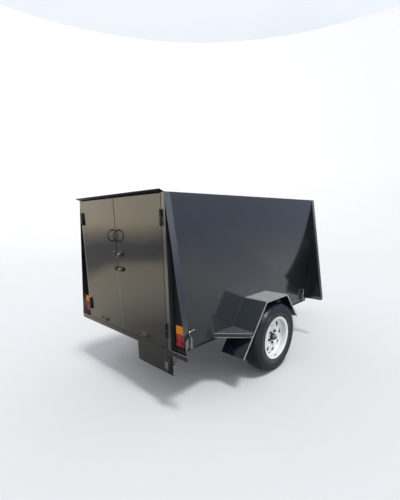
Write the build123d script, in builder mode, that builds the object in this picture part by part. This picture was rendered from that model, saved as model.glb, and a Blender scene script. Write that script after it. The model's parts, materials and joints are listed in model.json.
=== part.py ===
from build123d import *
from math import hypot, sqrt
import os

os.makedirs("parts", exist_ok=True)

# An enclosed single-axle cargo trailer, parked on its jockey wheel.
# X is to the trailer's right, Y to its front, Z up from the ground. Lengths are in millimetres.

sides = (("right", 1), ("left", -1))

# Body shell
body_w = 1220
body_l = 2170
body_h = 1139
wall_t = 20
roof_t = 20
roof_skin_t = 3
floor_t = 18
sheet_t = 3
seat_gap = 0.3

# Sills that run across under the body and out under the corner fins
sill_h = 38
sill_d = 50
fin_foot_w = 171
fin_flange_w = 50
fin_setback = 41
fin_t = 4
sill_cut_w = 59
fin_cut_h = 53
fin_foot_lift = 73

# Rain visor over the doors
visor_reach = 38
visor_rise = 16

# Rear doors, hung on the corner posts
post_w = 35.5
post_d = 40
stop_w = 14
header_h = 40
header_d = 40
door_t = 30
door_side_gap = 5
door_foot_gap = 5
door_head_gap = 6
door_stop_gap = 5
split_x = -26
split_gap = 8
door_skin_t = 4
door_stile_w = 45
door_rail_h = 40
door_bay_count = 3

# Barrel hinges: the lower half and its pin are on the post, the upper half is on the door
barrel_r = 10
barrel_h = 55
hinge_pin_r = 6
hinge_pin_h = 40
pin_gap = 0.1
hinge_leaf_w = 14
hinge_leaf_t = 5
hinge_share = (0.13, 0.856)

# Pull handles and bolts on the doors
handle_reach = 48
handle_h = 90
handle_rod_r = 6
handle_foot_r = 13
handle_foot_t = 4
handle_bend_r = 27
handle_inset = 42
handle_z = 1295
bolt_rod_r = 5
bolt_plate_t = 4
bolt_rod_lift = 2
bolt_guide_w = 14
bolt_guide_h = 26
bolt_lever_reach = 14
bolt_lever_drop = 34
bolt_l = 74
bolt_plate_h = 44
bolt_inset = 6
keeper_l = 48
latch_zs = (1150, 1028)
foot_bolt_z = 535
foot_bolt_l = 120
foot_bolt_share = 0.43

# Tail lamps on the rear fins
lamp_w = 88
lamp_h = 158
lamp_from_wall = 80
lamp_rise = 120
lamp_base_d = 8
lamp_lens_d = 13
lamp_rim = 3
lamp_corner_r = 8
amber_share = 0.4

# Plate panel and its lamp, under the rear sill on the right
panel_l = 432
panel_h = 157
panel_past_wall = 12
panel_fold = 14
brace_w = 22
brace_lap = 24
brace_reach = 40
panel_hole_r = 3.5
panel_hole_pitch = 300
plate_lamp_w = 68
plate_lamp_h = 105
plate_lamp_d = 26
plate_lamp_inset = 30
plate_lamp_drop = 82

# Wheels
tyre_r = 325
tyre_w = 185
tyre_wall_gap = 52
axle_share = 0.493
rim_seat_r = 178
rim_flange_r = 199
rim_w = 168
rim_well_r = 158
rim_well_half = 26
rim_slope = 9
rim_t = 4
disc_t = 5
disc_depth = 60
disc_crown_r = 84
disc_crown_d = 12
stud_circle_d = 114.3
stud_r = 6
stud_count = 5
stud_turn = 45
nut_r = 10
nut_h = 15
vent_count = 8
vent_turn = 8
vent_outer_r = 146
vent_inner_r = 98
vent_half_w = 24
hub_r = 34
hub_flange_r = 74
hub_flange_t = 12
hub_inner_l = 72
hub_nose_l = 26
cap_l = 28
cap_r = 24
cap_face_r = 17
stub_r = 19
tread_w = 138
shoulder_r = 276

# Mudguards, folded from sheet in three facets, with a lip along the outer edge
guard_w = 237
guard_bend_r = 32
guard_lip = 13
# Corners of the mudguard from the wheel's centre: along Y and up, as shares of the tyre's radius
guard_corner_shares = ((-1.606, -0.083), (-0.606, 1.197), (0.465, 1.197), (1.108, 0.385))

# Steps beside the body, behind the mudguards
step_outer_w = 234
step_outer_gap = 57
step_l = 247
step_corner_r = 18

# Chassis and drawbar
rail_h = 50
rail_w = 50
rail_inset = 70
rail_t = 3
rail_setback = 70
bearer_w = 40
bearer_count = 5
drawbar_l = 860
ball_overhang = 70
drawbar_nose_x = 31
head_plate_t = 6
head_plate_l = 300
head_plate_w = 430
head_plate_nose_w = 96

# Coupling for a 50 mm tow ball
socket_r = 25.5
nose_r = 45
socket_l = 22
coupling_h = 62
coupling_neck_w = 64
coupling_l = 235
coupling_flange = 14
coupling_taper = 8
coupling_round = 12
coupling_bolt_r = 9
coupling_bolt_pitch = 50
coupling_lever_l = 150
coupling_lever_w = 26
coupling_lever_t = 5
coupling_lever_rise = 34

# Jockey wheel at the drawbar's centre
jockey_from_ball = 260
jockey_tube_r = 24
jockey_tube_t = 3
jockey_tube_bottom_z = 330
jockey_tube_top_z = 790
jockey_inner_bottom_z = 252
jockey_inner_top_z = 520
jockey_collar_r = 38
jockey_collar_h = 70
jockey_flange_r = 62
jockey_flange_t = 8
jockey_wheel_r = 100
jockey_wheel_w = 56
jockey_shoulder = 12
jockey_trail = 36
jockey_fork_gap = 6
jockey_fork_t = 6
jockey_fork_w = 44
jockey_pin_r = 8
jockey_pin_l = 36
jockey_axle_r = 7
crank_l = 150
crank_rod_r = 7
crank_grip_r = 13
crank_grip_l = 95
crank_cap_h = 26

# Axle and leaf springs
beam_s = 45
beam_overhang = 60
spring_half_l = 380
spring_w = 45
leaf_t = 7
leaf_shares = (1, 0.74, 0.5, 0.28)
spring_sag = 14
eye_r = 15
eye_pin_r = 7
eye_drop = 18
hanger_t = 5
hanger_w = 46
clamp_l = 94
clamp_t = 8
clamp_bolt_r = 6
clamp_bolt_inset = 14
clamp_nut_r = 10
clamp_nut_h = 9

# Sprung corner latches on the side walls
latch_y = 188
latch_rod_r = 5
latch_stand = 13
latch_plate_w = 54
latch_plate_ahead = 10
latch_plate_h = 72
latch_plate_t = 3
latch_lug_t = 5
latch_lug_w = 26
latch_spring_r = 9
latch_rod_top = 132
latch_lean = 25
latch_grip = 61
latch_rise = 6
latch_bend_r = 9

# Places worked out from the sizes: the axle carries the springs, and they carry the body
leaf_count = len(leaf_shares)
main_top_z = tyre_r + beam_s / 2 + leaf_count * leaf_t
eye_z = main_top_z + spring_sag - leaf_t / 2
rail_bottom_z = eye_z + eye_drop
body_bottom_z = rail_bottom_z + rail_h
body_top_z = body_bottom_z + body_h
shell_top_z = body_top_z - roof_skin_t
sill_top_z = body_bottom_z + sill_h
half_w = body_w / 2
ball_reach = drawbar_l + ball_overhang
front_reach = ball_reach + nose_r
rear_reach = max(handle_reach, visor_reach)
rear_y = -(body_l + front_reach - rear_reach) / 2
front_y = rear_y + body_l
axle_y = rear_y + body_l * axle_share
post_x = half_w - post_w
hinge_x = post_x - door_side_gap / 2
hinge_y = rear_y - barrel_r
door_bottom_z = sill_top_z + door_foot_gap
door_top_z = shell_top_z - door_head_gap
door_h = door_top_z - door_bottom_z
stop_y = rear_y + door_t + door_stop_gap
header_front_y = stop_y + header_d
fin_outer_x = half_w + fin_foot_w
floor_top_z = sill_top_z
bearer_h = sill_h - floor_t
ball_y = front_y + ball_reach
jockey_y = ball_y - jockey_from_ball
track_half = half_w + tyre_wall_gap + tyre_w / 2
hub_face_x = track_half + rim_w / 2 - disc_depth
guard_outer_x = half_w + guard_w
rail_x = half_w - rail_inset
lamp_x = half_w + lamp_from_wall
lamp_z = sill_top_z + lamp_rise
panel_x = half_w + panel_past_wall - panel_l / 2
plate_lamp_x = half_w - plate_lamp_inset


def block(x_range, y_range, z_range):
    """A block between two values on each axis, in the part that is being made."""
    centre = [(low + high) / 2 for low, high in (x_range, y_range, z_range)]
    size = [high - low for low, high in (x_range, y_range, z_range)]
    with Locations(tuple(centre)):
        Box(*size)


def finish(piece, name):
    """Label a finished piece and write it."""
    piece.part.label = name
    export_step(piece.part, f"parts/{name}.step")


# Floor on its bearers, between the two sills
with BuildPart() as floor:
    block(
        (-half_w + wall_t, half_w - wall_t),
        (rear_y + sill_d, front_y - sill_d),
        (floor_top_z - floor_t, floor_top_z),
    )
finish(floor, "floor")

with BuildPart() as floor_bearers:
    bearer_run = body_l - 2 * sill_d - bearer_w
    for index in range(bearer_count):
        y_mid = rear_y + sill_d + bearer_w / 2 + bearer_run * (index + 0.5) / bearer_count
        block(
            (-half_w + wall_t, half_w - wall_t),
            (y_mid - bearer_w / 2, y_mid + bearer_w / 2),
            (body_bottom_z, body_bottom_z + bearer_h),
        )
finish(floor_bearers, "floor_bearers")

# Side walls, notched over the sills
for side_name, side in sides:
    with BuildPart() as wall:
        with BuildSketch(Plane.YZ.offset(side * (half_w - wall_t))):
            with BuildLine():
                Polyline(
                    (rear_y + sill_d, body_bottom_z),
                    (front_y - sill_d, body_bottom_z),
                    (front_y - sill_d, sill_top_z),
                    (front_y, sill_top_z),
                    (front_y, shell_top_z),
                    (rear_y + post_d, shell_top_z),
                    (rear_y + post_d, sill_top_z),
                    (rear_y + sill_d, sill_top_z),
                    close=True,
                )
            make_face()
        extrude(amount=side * wall_t)
    finish(wall, f"wall_{side_name}")

with BuildPart() as wall_front:
    block(
        (-half_w + wall_t, half_w - wall_t),
        (front_y - wall_t, front_y),
        (sill_top_z, shell_top_z),
    )
finish(wall_front, "wall_front")

# Roof: a panel between the walls, a skin over their tops and the rain visor behind
with BuildPart() as roof:
    block(
        (-half_w + wall_t, half_w - wall_t),
        (header_front_y, front_y - wall_t),
        (shell_top_z - roof_t, shell_top_z),
    )
    with BuildSketch(Plane.YZ):
        with BuildLine():
            Polyline(
                (front_y, shell_top_z),
                (front_y, body_top_z),
                (rear_y, body_top_z),
                (rear_y - visor_reach, body_top_z + visor_rise),
                (rear_y - visor_reach, body_top_z + visor_rise - roof_skin_t),
                (rear_y, shell_top_z),
                close=True,
            )
        make_face()
    extrude(amount=half_w, both=True)
finish(roof, "roof")

# Corner posts with the stop behind each door's edge
with BuildPart() as door_posts:
    for _, side in sides:
        with BuildSketch(Plane.XY.offset(sill_top_z)):
            with BuildLine():
                Polyline(
                    (side * post_x, rear_y),
                    (side * half_w, rear_y),
                    (side * half_w, rear_y + post_d),
                    (side * (post_x - stop_w), rear_y + post_d),
                    (side * (post_x - stop_w), stop_y),
                    (side * post_x, stop_y),
                    close=True,
                )
            make_face()
        extrude(amount=shell_top_z - sill_top_z)
finish(door_posts, "door_posts")

with BuildPart() as door_header:
    block((-post_x, post_x), (rear_y + post_d, header_front_y), (shell_top_z - header_h, shell_top_z))
    block(
        (-post_x + stop_w, post_x - stop_w),
        (stop_y, rear_y + post_d),
        (shell_top_z - header_h, shell_top_z),
    )
finish(door_header, "door_header")

# Sills: folded channels, open below, with closed ends, cut slantwise in plan at the rear
for end_name, sill_y, inward, cut_w in (("rear", rear_y, 1, sill_cut_w), ("front", front_y, -1, 0)):
    with BuildPart() as sill:
        sill_points = [
            (-fin_outer_x, sill_y),
            (fin_outer_x, sill_y),
            (fin_outer_x - cut_w, sill_y + inward * sill_d),
            (cut_w - fin_outer_x, sill_y + inward * sill_d),
        ]
        with BuildSketch(Plane.XY.offset(body_bottom_z)):
            with BuildLine():
                Polyline(*sill_points, close=True)
            make_face()
        extrude(amount=sill_h)
        with BuildSketch(Plane.XY.offset(body_bottom_z)):
            with BuildLine():
                Polyline(*sill_points, close=True)
            make_face()
            offset(amount=-sheet_t, kind=Kind.INTERSECTION)
        extrude(amount=sill_h - sheet_t, mode=Mode.SUBTRACT)
    finish(sill, f"sill_{end_name}")

# Corner fins: a sloped plate set back from the end of the body, with a flange along its outer edge
fin_rise = shell_top_z - sill_top_z
fin_slope = fin_foot_w / fin_rise
flange_step = fin_t * hypot(1, fin_slope)
flange_top_z = shell_top_z - flange_step / fin_slope
for end_name, end_y, inward, lift in (("rear", rear_y, 1, fin_foot_lift), ("front", front_y, -1, 0)):
    with BuildPart() as fins:
        plate_y = end_y + inward * fin_setback
        foot_z = sill_top_z + lift
        foot_x = fin_outer_x - fin_slope * lift
        plate_corners = [(half_w, sill_top_z)]
        if lift:
            plate_corners.append((fin_outer_x - sill_cut_w, sill_top_z))
            plate_corners.append((fin_outer_x - sill_cut_w, sill_top_z + fin_cut_h))
        plate_corners.append((foot_x - flange_step, foot_z))
        plate_corners.append((half_w, flange_top_z))
        for _, side in sides:
            with BuildSketch(Plane.XZ.offset(-end_y)):
                with BuildLine():
                    Polyline(
                        (side * foot_x, foot_z),
                        (side * half_w, shell_top_z),
                        (side * half_w, flange_top_z),
                        (side * (foot_x - flange_step), foot_z),
                        close=True,
                    )
                make_face()
            extrude(amount=-inward * fin_flange_w)
            with BuildSketch(Plane.XZ.offset(-plate_y)):
                with BuildLine():
                    Polyline(*[(side * x, z) for x, z in plate_corners], close=True)
                make_face()
            extrude(amount=-inward * fin_t)
    finish(fins, f"fins_{end_name}")

# Tail lamps: a base on the fin plate, with an amber lens above a red one
lamp_back_y = rear_y + fin_setback
lamp_base_y = lamp_back_y - lamp_base_d
with BuildPart() as lamp_bases:
    for _, side in sides:
        with BuildSketch(Plane.XZ.offset(-lamp_back_y)):
            with Locations((side * lamp_x, lamp_z)):
                RectangleRounded(lamp_w, lamp_h, lamp_corner_r)
        extrude(amount=lamp_base_d)
finish(lamp_bases, "lamp_bases")

lens_h = lamp_h - 2 * lamp_rim
lens_w = lamp_w - 2 * lamp_rim
lens_top_z = lamp_z + lens_h / 2
lens_split_z = lens_top_z - lens_h * amber_share
lens_bottom_z = lamp_z - lens_h / 2
lens_rows = (
    ("amber", lens_split_z + seat_gap, lens_top_z),
    ("red", lens_bottom_z, lens_split_z),
)
for lens_name, low_z, high_z in lens_rows:
    with BuildPart() as lenses:
        for _, side in sides:
            with BuildSketch(Plane.XZ.offset(-lamp_base_y)):
                with Locations((side * lamp_x, (low_z + high_z) / 2)):
                    RectangleRounded(lens_w, high_z - low_z, lamp_rim)
            extrude(amount=lamp_lens_d)
        fillet(lenses.faces().group_by(Axis.Y)[0].edges(), radius=lamp_rim - seat_gap)
    finish(lenses, f"lamp_lenses_{lens_name}")

# Plate panel: a blank sheet folded forward along its top and bottom edges, with a brace to the sill
with BuildPart() as plate_panel:
    panel_top_z = body_bottom_z - seat_gap
    x_range = (panel_x - panel_l / 2, panel_x + panel_l / 2)
    block(x_range, (rear_y, rear_y + sheet_t), (panel_top_z - panel_h, panel_top_z))
    block(x_range, (rear_y, rear_y + panel_fold), (panel_top_z - sheet_t, panel_top_z))
    block(x_range, (rear_y, rear_y + panel_fold), (panel_top_z - panel_h, panel_top_z - panel_h + sheet_t))
    with BuildSketch(Plane.XZ.offset(-rear_y)):
        with Locations((panel_x - plate_lamp_w / 2, panel_top_z - panel_h / 2)):
            with GridLocations(panel_hole_pitch, 0, 2, 1):
                Circle(panel_hole_r)
    extrude(amount=-sheet_t, mode=Mode.SUBTRACT)
    panel_end_x = panel_x + panel_l / 2
    brace_foot_z = panel_top_z - panel_h / 2
    with BuildSketch(Plane.XZ.offset(-rear_y - sheet_t)):
        with BuildLine():
            Polyline(
                (panel_end_x - brace_lap, brace_foot_z),
                (panel_end_x - sheet_t, brace_foot_z),
                (panel_end_x + brace_reach, panel_top_z - sheet_t),
                (panel_end_x + brace_reach + brace_lap, panel_top_z - sheet_t),
                (panel_end_x + brace_reach + brace_lap, panel_top_z),
                (panel_end_x + brace_reach - sheet_t, panel_top_z),
                (panel_end_x - 2 * sheet_t, brace_foot_z + sheet_t),
                (panel_end_x - brace_lap, brace_foot_z + sheet_t),
                close=True,
            )
        make_face()
    extrude(amount=-brace_w)
finish(plate_panel, "plate_panel")

with BuildPart() as plate_lamp:
    lamp_mid_z = body_bottom_z - plate_lamp_drop
    block(
        (plate_lamp_x - plate_lamp_w / 2, plate_lamp_x + plate_lamp_w / 2),
        (rear_y - plate_lamp_d, rear_y),
        (lamp_mid_z - plate_lamp_h / 2, lamp_mid_z + plate_lamp_h / 2),
    )
    fillet(plate_lamp.faces().sort_by(Axis.Y)[0].edges(), radius=lamp_corner_r)
finish(plate_lamp, "plate_lamp")

# Rear doors: a skin on a frame of stiles and rails, open on the inside between them
door_rows = (
    ("right", 1, split_x + split_gap / 2, post_x - door_side_gap),
    ("left", -1, -post_x + door_side_gap, split_x - split_gap / 2),
)
for door_name, side, low_x, high_x in door_rows:
    free_x = low_x if side > 0 else high_x
    edge_x = high_x if side > 0 else low_x
    with BuildPart() as door:
        block((low_x, high_x), (rear_y, rear_y + door_t), (door_bottom_z, door_top_z))
        bay_w = high_x - low_x - 2 * door_stile_w
        bay_h = (door_h - (door_bay_count + 1) * door_rail_h) / door_bay_count
        with BuildSketch(Plane.XZ.offset(-rear_y - door_t)):
            with Locations(((low_x + high_x) / 2, (door_bottom_z + door_top_z) / 2)):
                with GridLocations(0, bay_h + door_rail_h, 1, door_bay_count):
                    Rectangle(bay_w, bay_h)
        extrude(amount=door_t - door_skin_t, mode=Mode.SUBTRACT)
    finish(door, f"door_{door_name}")

    with BuildPart() as handle:
        handle_x = free_x + side * handle_inset
        foot_y = rear_y - handle_foot_t
        rod_y = rear_y - handle_reach + handle_rod_r
        with BuildSketch(Plane.XZ.offset(-rear_y)):
            with Locations((handle_x, handle_z)):
                with GridLocations(0, handle_h, 1, 2):
                    Circle(handle_foot_r)
        extrude(amount=handle_foot_t)
        with BuildLine():
            path = FilletPolyline(
                (handle_x, foot_y, handle_z - handle_h / 2),
                (handle_x, rod_y, handle_z - handle_h / 2),
                (handle_x, rod_y, handle_z + handle_h / 2),
                (handle_x, foot_y, handle_z + handle_h / 2),
                radius=handle_bend_r,
            )
        with BuildSketch(Plane(path @ 0, z_dir=path % 0)):
            Circle(handle_rod_r)
        sweep(path=path)
    finish(handle, f"handle_{door_name}")

    # Slide bolts: a plate, two guides and a rod with its lever on the right, a plate and a keeper on the left
    with BuildPart() as bolts:
        rod_y = rear_y - bolt_plate_t - bolt_rod_r - bolt_rod_lift
        latch_l = bolt_l if side > 0 else keeper_l
        rows = [(free_x + side * bolt_inset, latch_z, latch_l) for latch_z in latch_zs]
        rows.append((free_x + (edge_x - free_x) * foot_bolt_share, foot_bolt_z, foot_bolt_l))
        for near_x, mid_z, length in rows:
            far_x = near_x + side * length
            plate_z = (mid_z - bolt_plate_h / 2, mid_z + bolt_plate_h / 2)
            block(sorted((near_x, far_x)), (rear_y - bolt_plate_t, rear_y), plate_z)
            guide_z = (mid_z - bolt_guide_h / 2, mid_z + bolt_guide_h / 2)
            guide_xs = (near_x, far_x - side * bolt_guide_w)
            keeps_only = side < 0 and mid_z != foot_bolt_z
            for guide_x in guide_xs[:1] if keeps_only else guide_xs:
                guide_range = sorted((guide_x, guide_x + side * bolt_guide_w))
                block(guide_range, (rod_y - bolt_rod_r - bolt_plate_t, rear_y - bolt_plate_t), guide_z)
            with BuildSketch(Plane.YZ.offset(near_x)):
                with Locations((rod_y, mid_z)):
                    Circle(bolt_rod_r + pin_gap)
            extrude(amount=side * bolt_guide_w, mode=Mode.SUBTRACT)
            if not keeps_only:
                lever_x = (near_x + far_x) / 2
                lever_y = rod_y - bolt_lever_reach
                with BuildLine():
                    path = FilletPolyline(
                        (near_x, rod_y, mid_z),
                        (lever_x, rod_y, mid_z),
                        (lever_x, lever_y, mid_z - bolt_lever_drop),
                        radius=bolt_rod_r,
                    )
                with BuildSketch(Plane(path @ 0, z_dir=path % 0)):
                    Circle(bolt_rod_r)
                sweep(path=path)
                with BuildSketch(Plane.YZ.offset(lever_x)):
                    with Locations((rod_y, mid_z)):
                        Circle(bolt_rod_r)
                extrude(amount=side * length / 2)
    finish(bolts, f"bolts_{door_name}")

    with BuildPart() as door_hinges:
        for share in hinge_share:
            joint_z = door_bottom_z + door_h * share
            with BuildSketch(Plane.XY.offset(joint_z + seat_gap)):
                with Locations((side * hinge_x, hinge_y)):
                    Circle(barrel_r)
                leaf_x = side * (hinge_x - door_side_gap / 2 - hinge_leaf_w / 2)
                with Locations((leaf_x, rear_y - hinge_leaf_t / 2)):
                    Rectangle(hinge_leaf_w, hinge_leaf_t)
                with Locations((side * (hinge_x - barrel_r / 2), hinge_y + barrel_r / 4)):
                    Rectangle(door_side_gap, barrel_r / 2)
            extrude(amount=barrel_h)
            with BuildSketch(Plane.XY.offset(joint_z + seat_gap)):
                with Locations((side * hinge_x, hinge_y)):
                    Circle(hinge_pin_r + pin_gap)
            extrude(amount=hinge_pin_h, mode=Mode.SUBTRACT)
    finish(door_hinges, f"hinges_{door_name}")

with BuildPart() as hinges_frame:
    for _, side in sides:
        for share in hinge_share:
            joint_z = door_bottom_z + door_h * share
            with BuildSketch(Plane.XY.offset(joint_z)):
                with Locations((side * hinge_x, hinge_y)):
                    Circle(barrel_r)
                leaf_x = side * (hinge_x + door_side_gap / 2 + hinge_leaf_w / 2)
                with Locations((leaf_x, rear_y - hinge_leaf_t / 2)):
                    Rectangle(hinge_leaf_w, hinge_leaf_t)
                with Locations((side * (hinge_x + barrel_r / 2), hinge_y + barrel_r / 4)):
                    Rectangle(door_side_gap, barrel_r / 2)
            extrude(amount=-barrel_h)
            with BuildSketch(Plane.XY.offset(joint_z)):
                with Locations((side * hinge_x, hinge_y)):
                    Circle(hinge_pin_r)
            extrude(amount=hinge_pin_h - seat_gap)
finish(hinges_frame, "hinges_frame")

# Mudguards and steps
guard_points = [
    (axle_y + along_share * tyre_r, tyre_r + up_share * tyre_r)
    for along_share, up_share in guard_corner_shares
]
rear_run = guard_points[1][0] - guard_points[0][0]
rear_rise = guard_points[1][1] - guard_points[0][1]


def guard_slope_y(z):
    """Where the mudguard's rear facet is at a height."""
    return guard_points[0][0] + rear_run * (z - guard_points[0][1]) / rear_rise


for side_name, side in sides:
    with BuildPart() as mudguard:
        for thickness, start_x, width in (
            (sheet_t, half_w, guard_w),
            (guard_lip, guard_outer_x - sheet_t, sheet_t),
        ):
            with BuildSketch(Plane.YZ.offset(side * start_x)):
                with BuildLine():
                    FilletPolyline(*guard_points, radius=guard_bend_r)
                    offset(amount=thickness, side=Side.RIGHT)
                make_face()
            extrude(amount=side * width)
    finish(mudguard, f"mudguard_{side_name}")

with BuildPart() as steps:
    step_x = half_w + step_outer_w
    plate_front_y = guard_slope_y(sill_top_z - sheet_t) - seat_gap
    lip_front_y = guard_slope_y(sill_top_z - sill_h) - seat_gap
    step_outer_y = guard_slope_y(sill_top_z) - step_outer_gap
    step_rear_y = guard_slope_y(sill_top_z) - step_l
    lip_step = sheet_t * hypot(1, (step_outer_y - step_rear_y) / step_outer_w)
    for _, side in sides:
        with BuildSketch(Plane.XY.offset(sill_top_z)):
            with BuildLine():
                Polyline(
                    (side * half_w, step_rear_y),
                    (side * step_x, step_outer_y),
                    (side * step_x, plate_front_y),
                    (side * half_w, plate_front_y),
                    close=True,
                )
            make_face()
        extrude(amount=-sheet_t)
        with BuildSketch(Plane.XY.offset(sill_top_z)):
            with BuildLine():
                Polyline(
                    (side * half_w, step_rear_y),
                    (side * step_x, step_outer_y),
                    (side * step_x, lip_front_y),
                    (side * (step_x - sheet_t), lip_front_y),
                    (side * (step_x - sheet_t), step_outer_y + lip_step),
                    (side * half_w, step_rear_y + lip_step),
                    close=True,
                )
            make_face()
        extrude(amount=-sill_h)
    upright = steps.edges().filter_by(Axis.Z)
    corners = upright.filter_by(lambda edge: abs(edge.center().X) > step_x - sheet_t / 2)
    fillet(corners.group_by(Axis.Y)[0], radius=step_corner_r)
finish(steps, "steps")

# Wheels: a tyre on a pressed steel rim, whose disc has a ring of triangular vents
for side_name, side in sides:
    spin = Axis((0, axle_y, tyre_r), (1, 0, 0))
    section = Plane((side * track_half, axle_y, tyre_r), x_dir=(side, 0, 0), z_dir=(0, -side, 0))
    disc_plane = Plane((side * hub_face_x, axle_y, tyre_r), x_dir=(0, side, 0), z_dir=(side, 0, 0))
    disc_x = hub_face_x - track_half
    flange_x = rim_w / 2
    seat_x = flange_x - 2 * rim_t

    with BuildPart() as tyre:
        with BuildSketch(section):
            with BuildLine():
                Polyline(
                    (-seat_x + seat_gap, rim_seat_r + seat_gap),
                    (-tyre_w / 2, shoulder_r),
                    (-tread_w / 2, tyre_r),
                    (tread_w / 2, tyre_r),
                    (tyre_w / 2, shoulder_r),
                    (seat_x - seat_gap, rim_seat_r + seat_gap),
                    close=True,
                )
            make_face()
        revolve(axis=spin, revolution_arc=360)
    finish(tyre, f"tyre_{side_name}")

    with BuildPart() as rim:
        outside = (
            (seat_x + rim_t, rim_flange_r),
            (seat_x, rim_seat_r),
            (rim_well_half + rim_slope, rim_seat_r),
            (rim_well_half, rim_well_r),
        )
        inside = (
            (rim_well_half, rim_well_r - rim_t),
            (rim_well_half + rim_slope, rim_seat_r - rim_t),
            (flange_x - rim_t, rim_seat_r - rim_t),
            (flange_x, rim_flange_r),
        )
        with BuildSketch(section):
            with BuildLine():
                Polyline(
                    *outside,
                    *((-x, r) for x, r in reversed(outside)),
                    *((-x, r) for x, r in reversed(inside)),
                    *inside,
                    close=True,
                )
            make_face()
            with BuildLine():
                Polyline(
                    (disc_x, hub_r + seat_gap),
                    (disc_x, hub_flange_r),
                    (disc_x + disc_crown_d, disc_crown_r),
                    (disc_x - disc_t, rim_well_r - rim_t),
                    (disc_x, rim_well_r - rim_t),
                    (disc_x + disc_crown_d + disc_t, disc_crown_r),
                    (disc_x + disc_t, hub_flange_r),
                    (disc_x + disc_t, hub_r + seat_gap),
                    close=True,
                )
            make_face()
        revolve(axis=spin, revolution_arc=360)
        with BuildSketch(disc_plane.offset(-disc_t)):
            with PolarLocations(0, vent_count, start_angle=vent_turn):
                with BuildLine():
                    Polyline(
                        (vent_inner_r, 0),
                        (vent_outer_r, vent_half_w),
                        (vent_outer_r, -vent_half_w),
                        close=True,
                    )
                make_face()
        extrude(amount=disc_crown_d + 2 * disc_t, mode=Mode.SUBTRACT)
        with BuildSketch(disc_plane):
            with PolarLocations(stud_circle_d / 2, stud_count, start_angle=stud_turn):
                Circle(stud_r + seat_gap)
        extrude(amount=disc_t, mode=Mode.SUBTRACT)
    finish(rim, f"rim_{side_name}")

    with BuildPart() as hub:
        with BuildSketch(section):
            with BuildLine():
                Polyline(
                    (disc_x - hub_inner_l, stub_r + seat_gap),
                    (disc_x - hub_inner_l, hub_r),
                    (disc_x - hub_flange_t, hub_r),
                    (disc_x - hub_flange_t, hub_flange_r),
                    (disc_x, hub_flange_r),
                    (disc_x, hub_r),
                    (disc_x + hub_nose_l, hub_r),
                    (disc_x + hub_nose_l, cap_r),
                    (disc_x + hub_nose_l + cap_l, cap_face_r),
                    (disc_x + hub_nose_l + cap_l, 0),
                    (disc_x + hub_nose_l, 0),
                    (disc_x + hub_nose_l, stub_r + seat_gap),
                    close=True,
                )
            make_face()
        revolve(axis=spin, revolution_arc=360)
        with BuildSketch(disc_plane):
            with PolarLocations(stud_circle_d / 2, stud_count, start_angle=stud_turn):
                Circle(stud_r)
        extrude(amount=disc_t + nut_h)
        with BuildSketch(disc_plane.offset(disc_t)):
            with PolarLocations(stud_circle_d / 2, stud_count, start_angle=stud_turn):
                RegularPolygon(nut_r, 6)
        extrude(amount=nut_h)
    finish(hub, f"hub_{side_name}")

# Axle: a square beam with a round stub at each end
stub_end_x = hub_face_x + hub_nose_l - seat_gap
beam_end_x = rail_x + beam_overhang
with BuildPart() as axle:
    block(
        (-beam_end_x, beam_end_x),
        (axle_y - beam_s / 2, axle_y + beam_s / 2),
        (tyre_r - beam_s / 2, tyre_r + beam_s / 2),
    )
    with Locations(Plane((0, axle_y, tyre_r), z_dir=(1, 0, 0))):
        Cylinder(stub_r, 2 * stub_end_x)
finish(axle, "axle")

# Chassis rails, with the spring hangers and their eye pins
with BuildPart() as chassis_rails:
    for _, side in sides:
        with BuildSketch(Plane.XZ.offset(-front_y)):
            with Locations((side * rail_x, body_bottom_z - rail_h / 2)):
                Rectangle(rail_w, rail_h)
                Rectangle(rail_w - 2 * rail_t, rail_h - 2 * rail_t, mode=Mode.SUBTRACT)
        extrude(amount=body_l - rail_setback)
        for eye_y in (axle_y - spring_half_l, axle_y + spring_half_l):
            for ear in (-1, 1):
                ear_x = side * rail_x + ear * (spring_w / 2 + seat_gap + hanger_t / 2)
                with BuildSketch(Plane.YZ.offset(ear_x - hanger_t / 2)):
                    with BuildLine():
                        Polyline(
                            (eye_y - hanger_w / 2, rail_bottom_z),
                            (eye_y + hanger_w / 2, rail_bottom_z),
                            (eye_y + eye_r, eye_z),
                            (eye_y - eye_r, eye_z),
                            close=True,
                        )
                    make_face()
                    with Locations((eye_y, eye_z)):
                        Circle(eye_r)
                extrude(amount=hanger_t)
            with BuildSketch(Plane.YZ.offset(side * rail_x - spring_w / 2 - hanger_t - seat_gap)):
                with Locations((eye_y, eye_z)):
                    Circle(eye_pin_r)
            extrude(amount=spring_w + 2 * hanger_t + 2 * seat_gap)
finish(chassis_rails, "chassis_rails")

# Leaf springs: curved leaves under a main leaf with rolled eyes
with BuildPart() as leaf_springs:
    curve_r = (spring_half_l**2 + spring_sag**2) / (2 * spring_sag)
    curve_z = main_top_z + curve_r
    for _, side in sides:
        for index, leaf_share in enumerate(leaf_shares):
            with BuildSketch(Plane.YZ.offset(side * rail_x - spring_w / 2)):
                with BuildLine():
                    ends = []
                    for radius in (curve_r + index * leaf_t, curve_r + (index + 1) * leaf_t):
                        half = leaf_share * spring_half_l
                        lift = radius - sqrt(radius**2 - half**2)
                        low_z = curve_z - radius
                        arc = ThreePointArc(
                            (axle_y - half, low_z + lift),
                            (axle_y, low_z),
                            (axle_y + half, low_z + lift),
                        )
                        ends.append(arc)
                    Line(ends[0] @ 0, ends[1] @ 0)
                    Line(ends[0] @ 1, ends[1] @ 1)
                make_face()
            extrude(amount=spring_w)
        for eye_y in (axle_y - spring_half_l, axle_y + spring_half_l):
            with BuildSketch(Plane.YZ.offset(side * rail_x - spring_w / 2)):
                with Locations((eye_y, eye_z)):
                    Circle(eye_r - hanger_t / 2)
            extrude(amount=spring_w)
            with BuildSketch(Plane.YZ.offset(side * rail_x - spring_w / 2)):
                with Locations((eye_y, eye_z)):
                    Circle(eye_pin_r + pin_gap)
            extrude(amount=spring_w, mode=Mode.SUBTRACT)
finish(leaf_springs, "leaf_springs")

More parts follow.
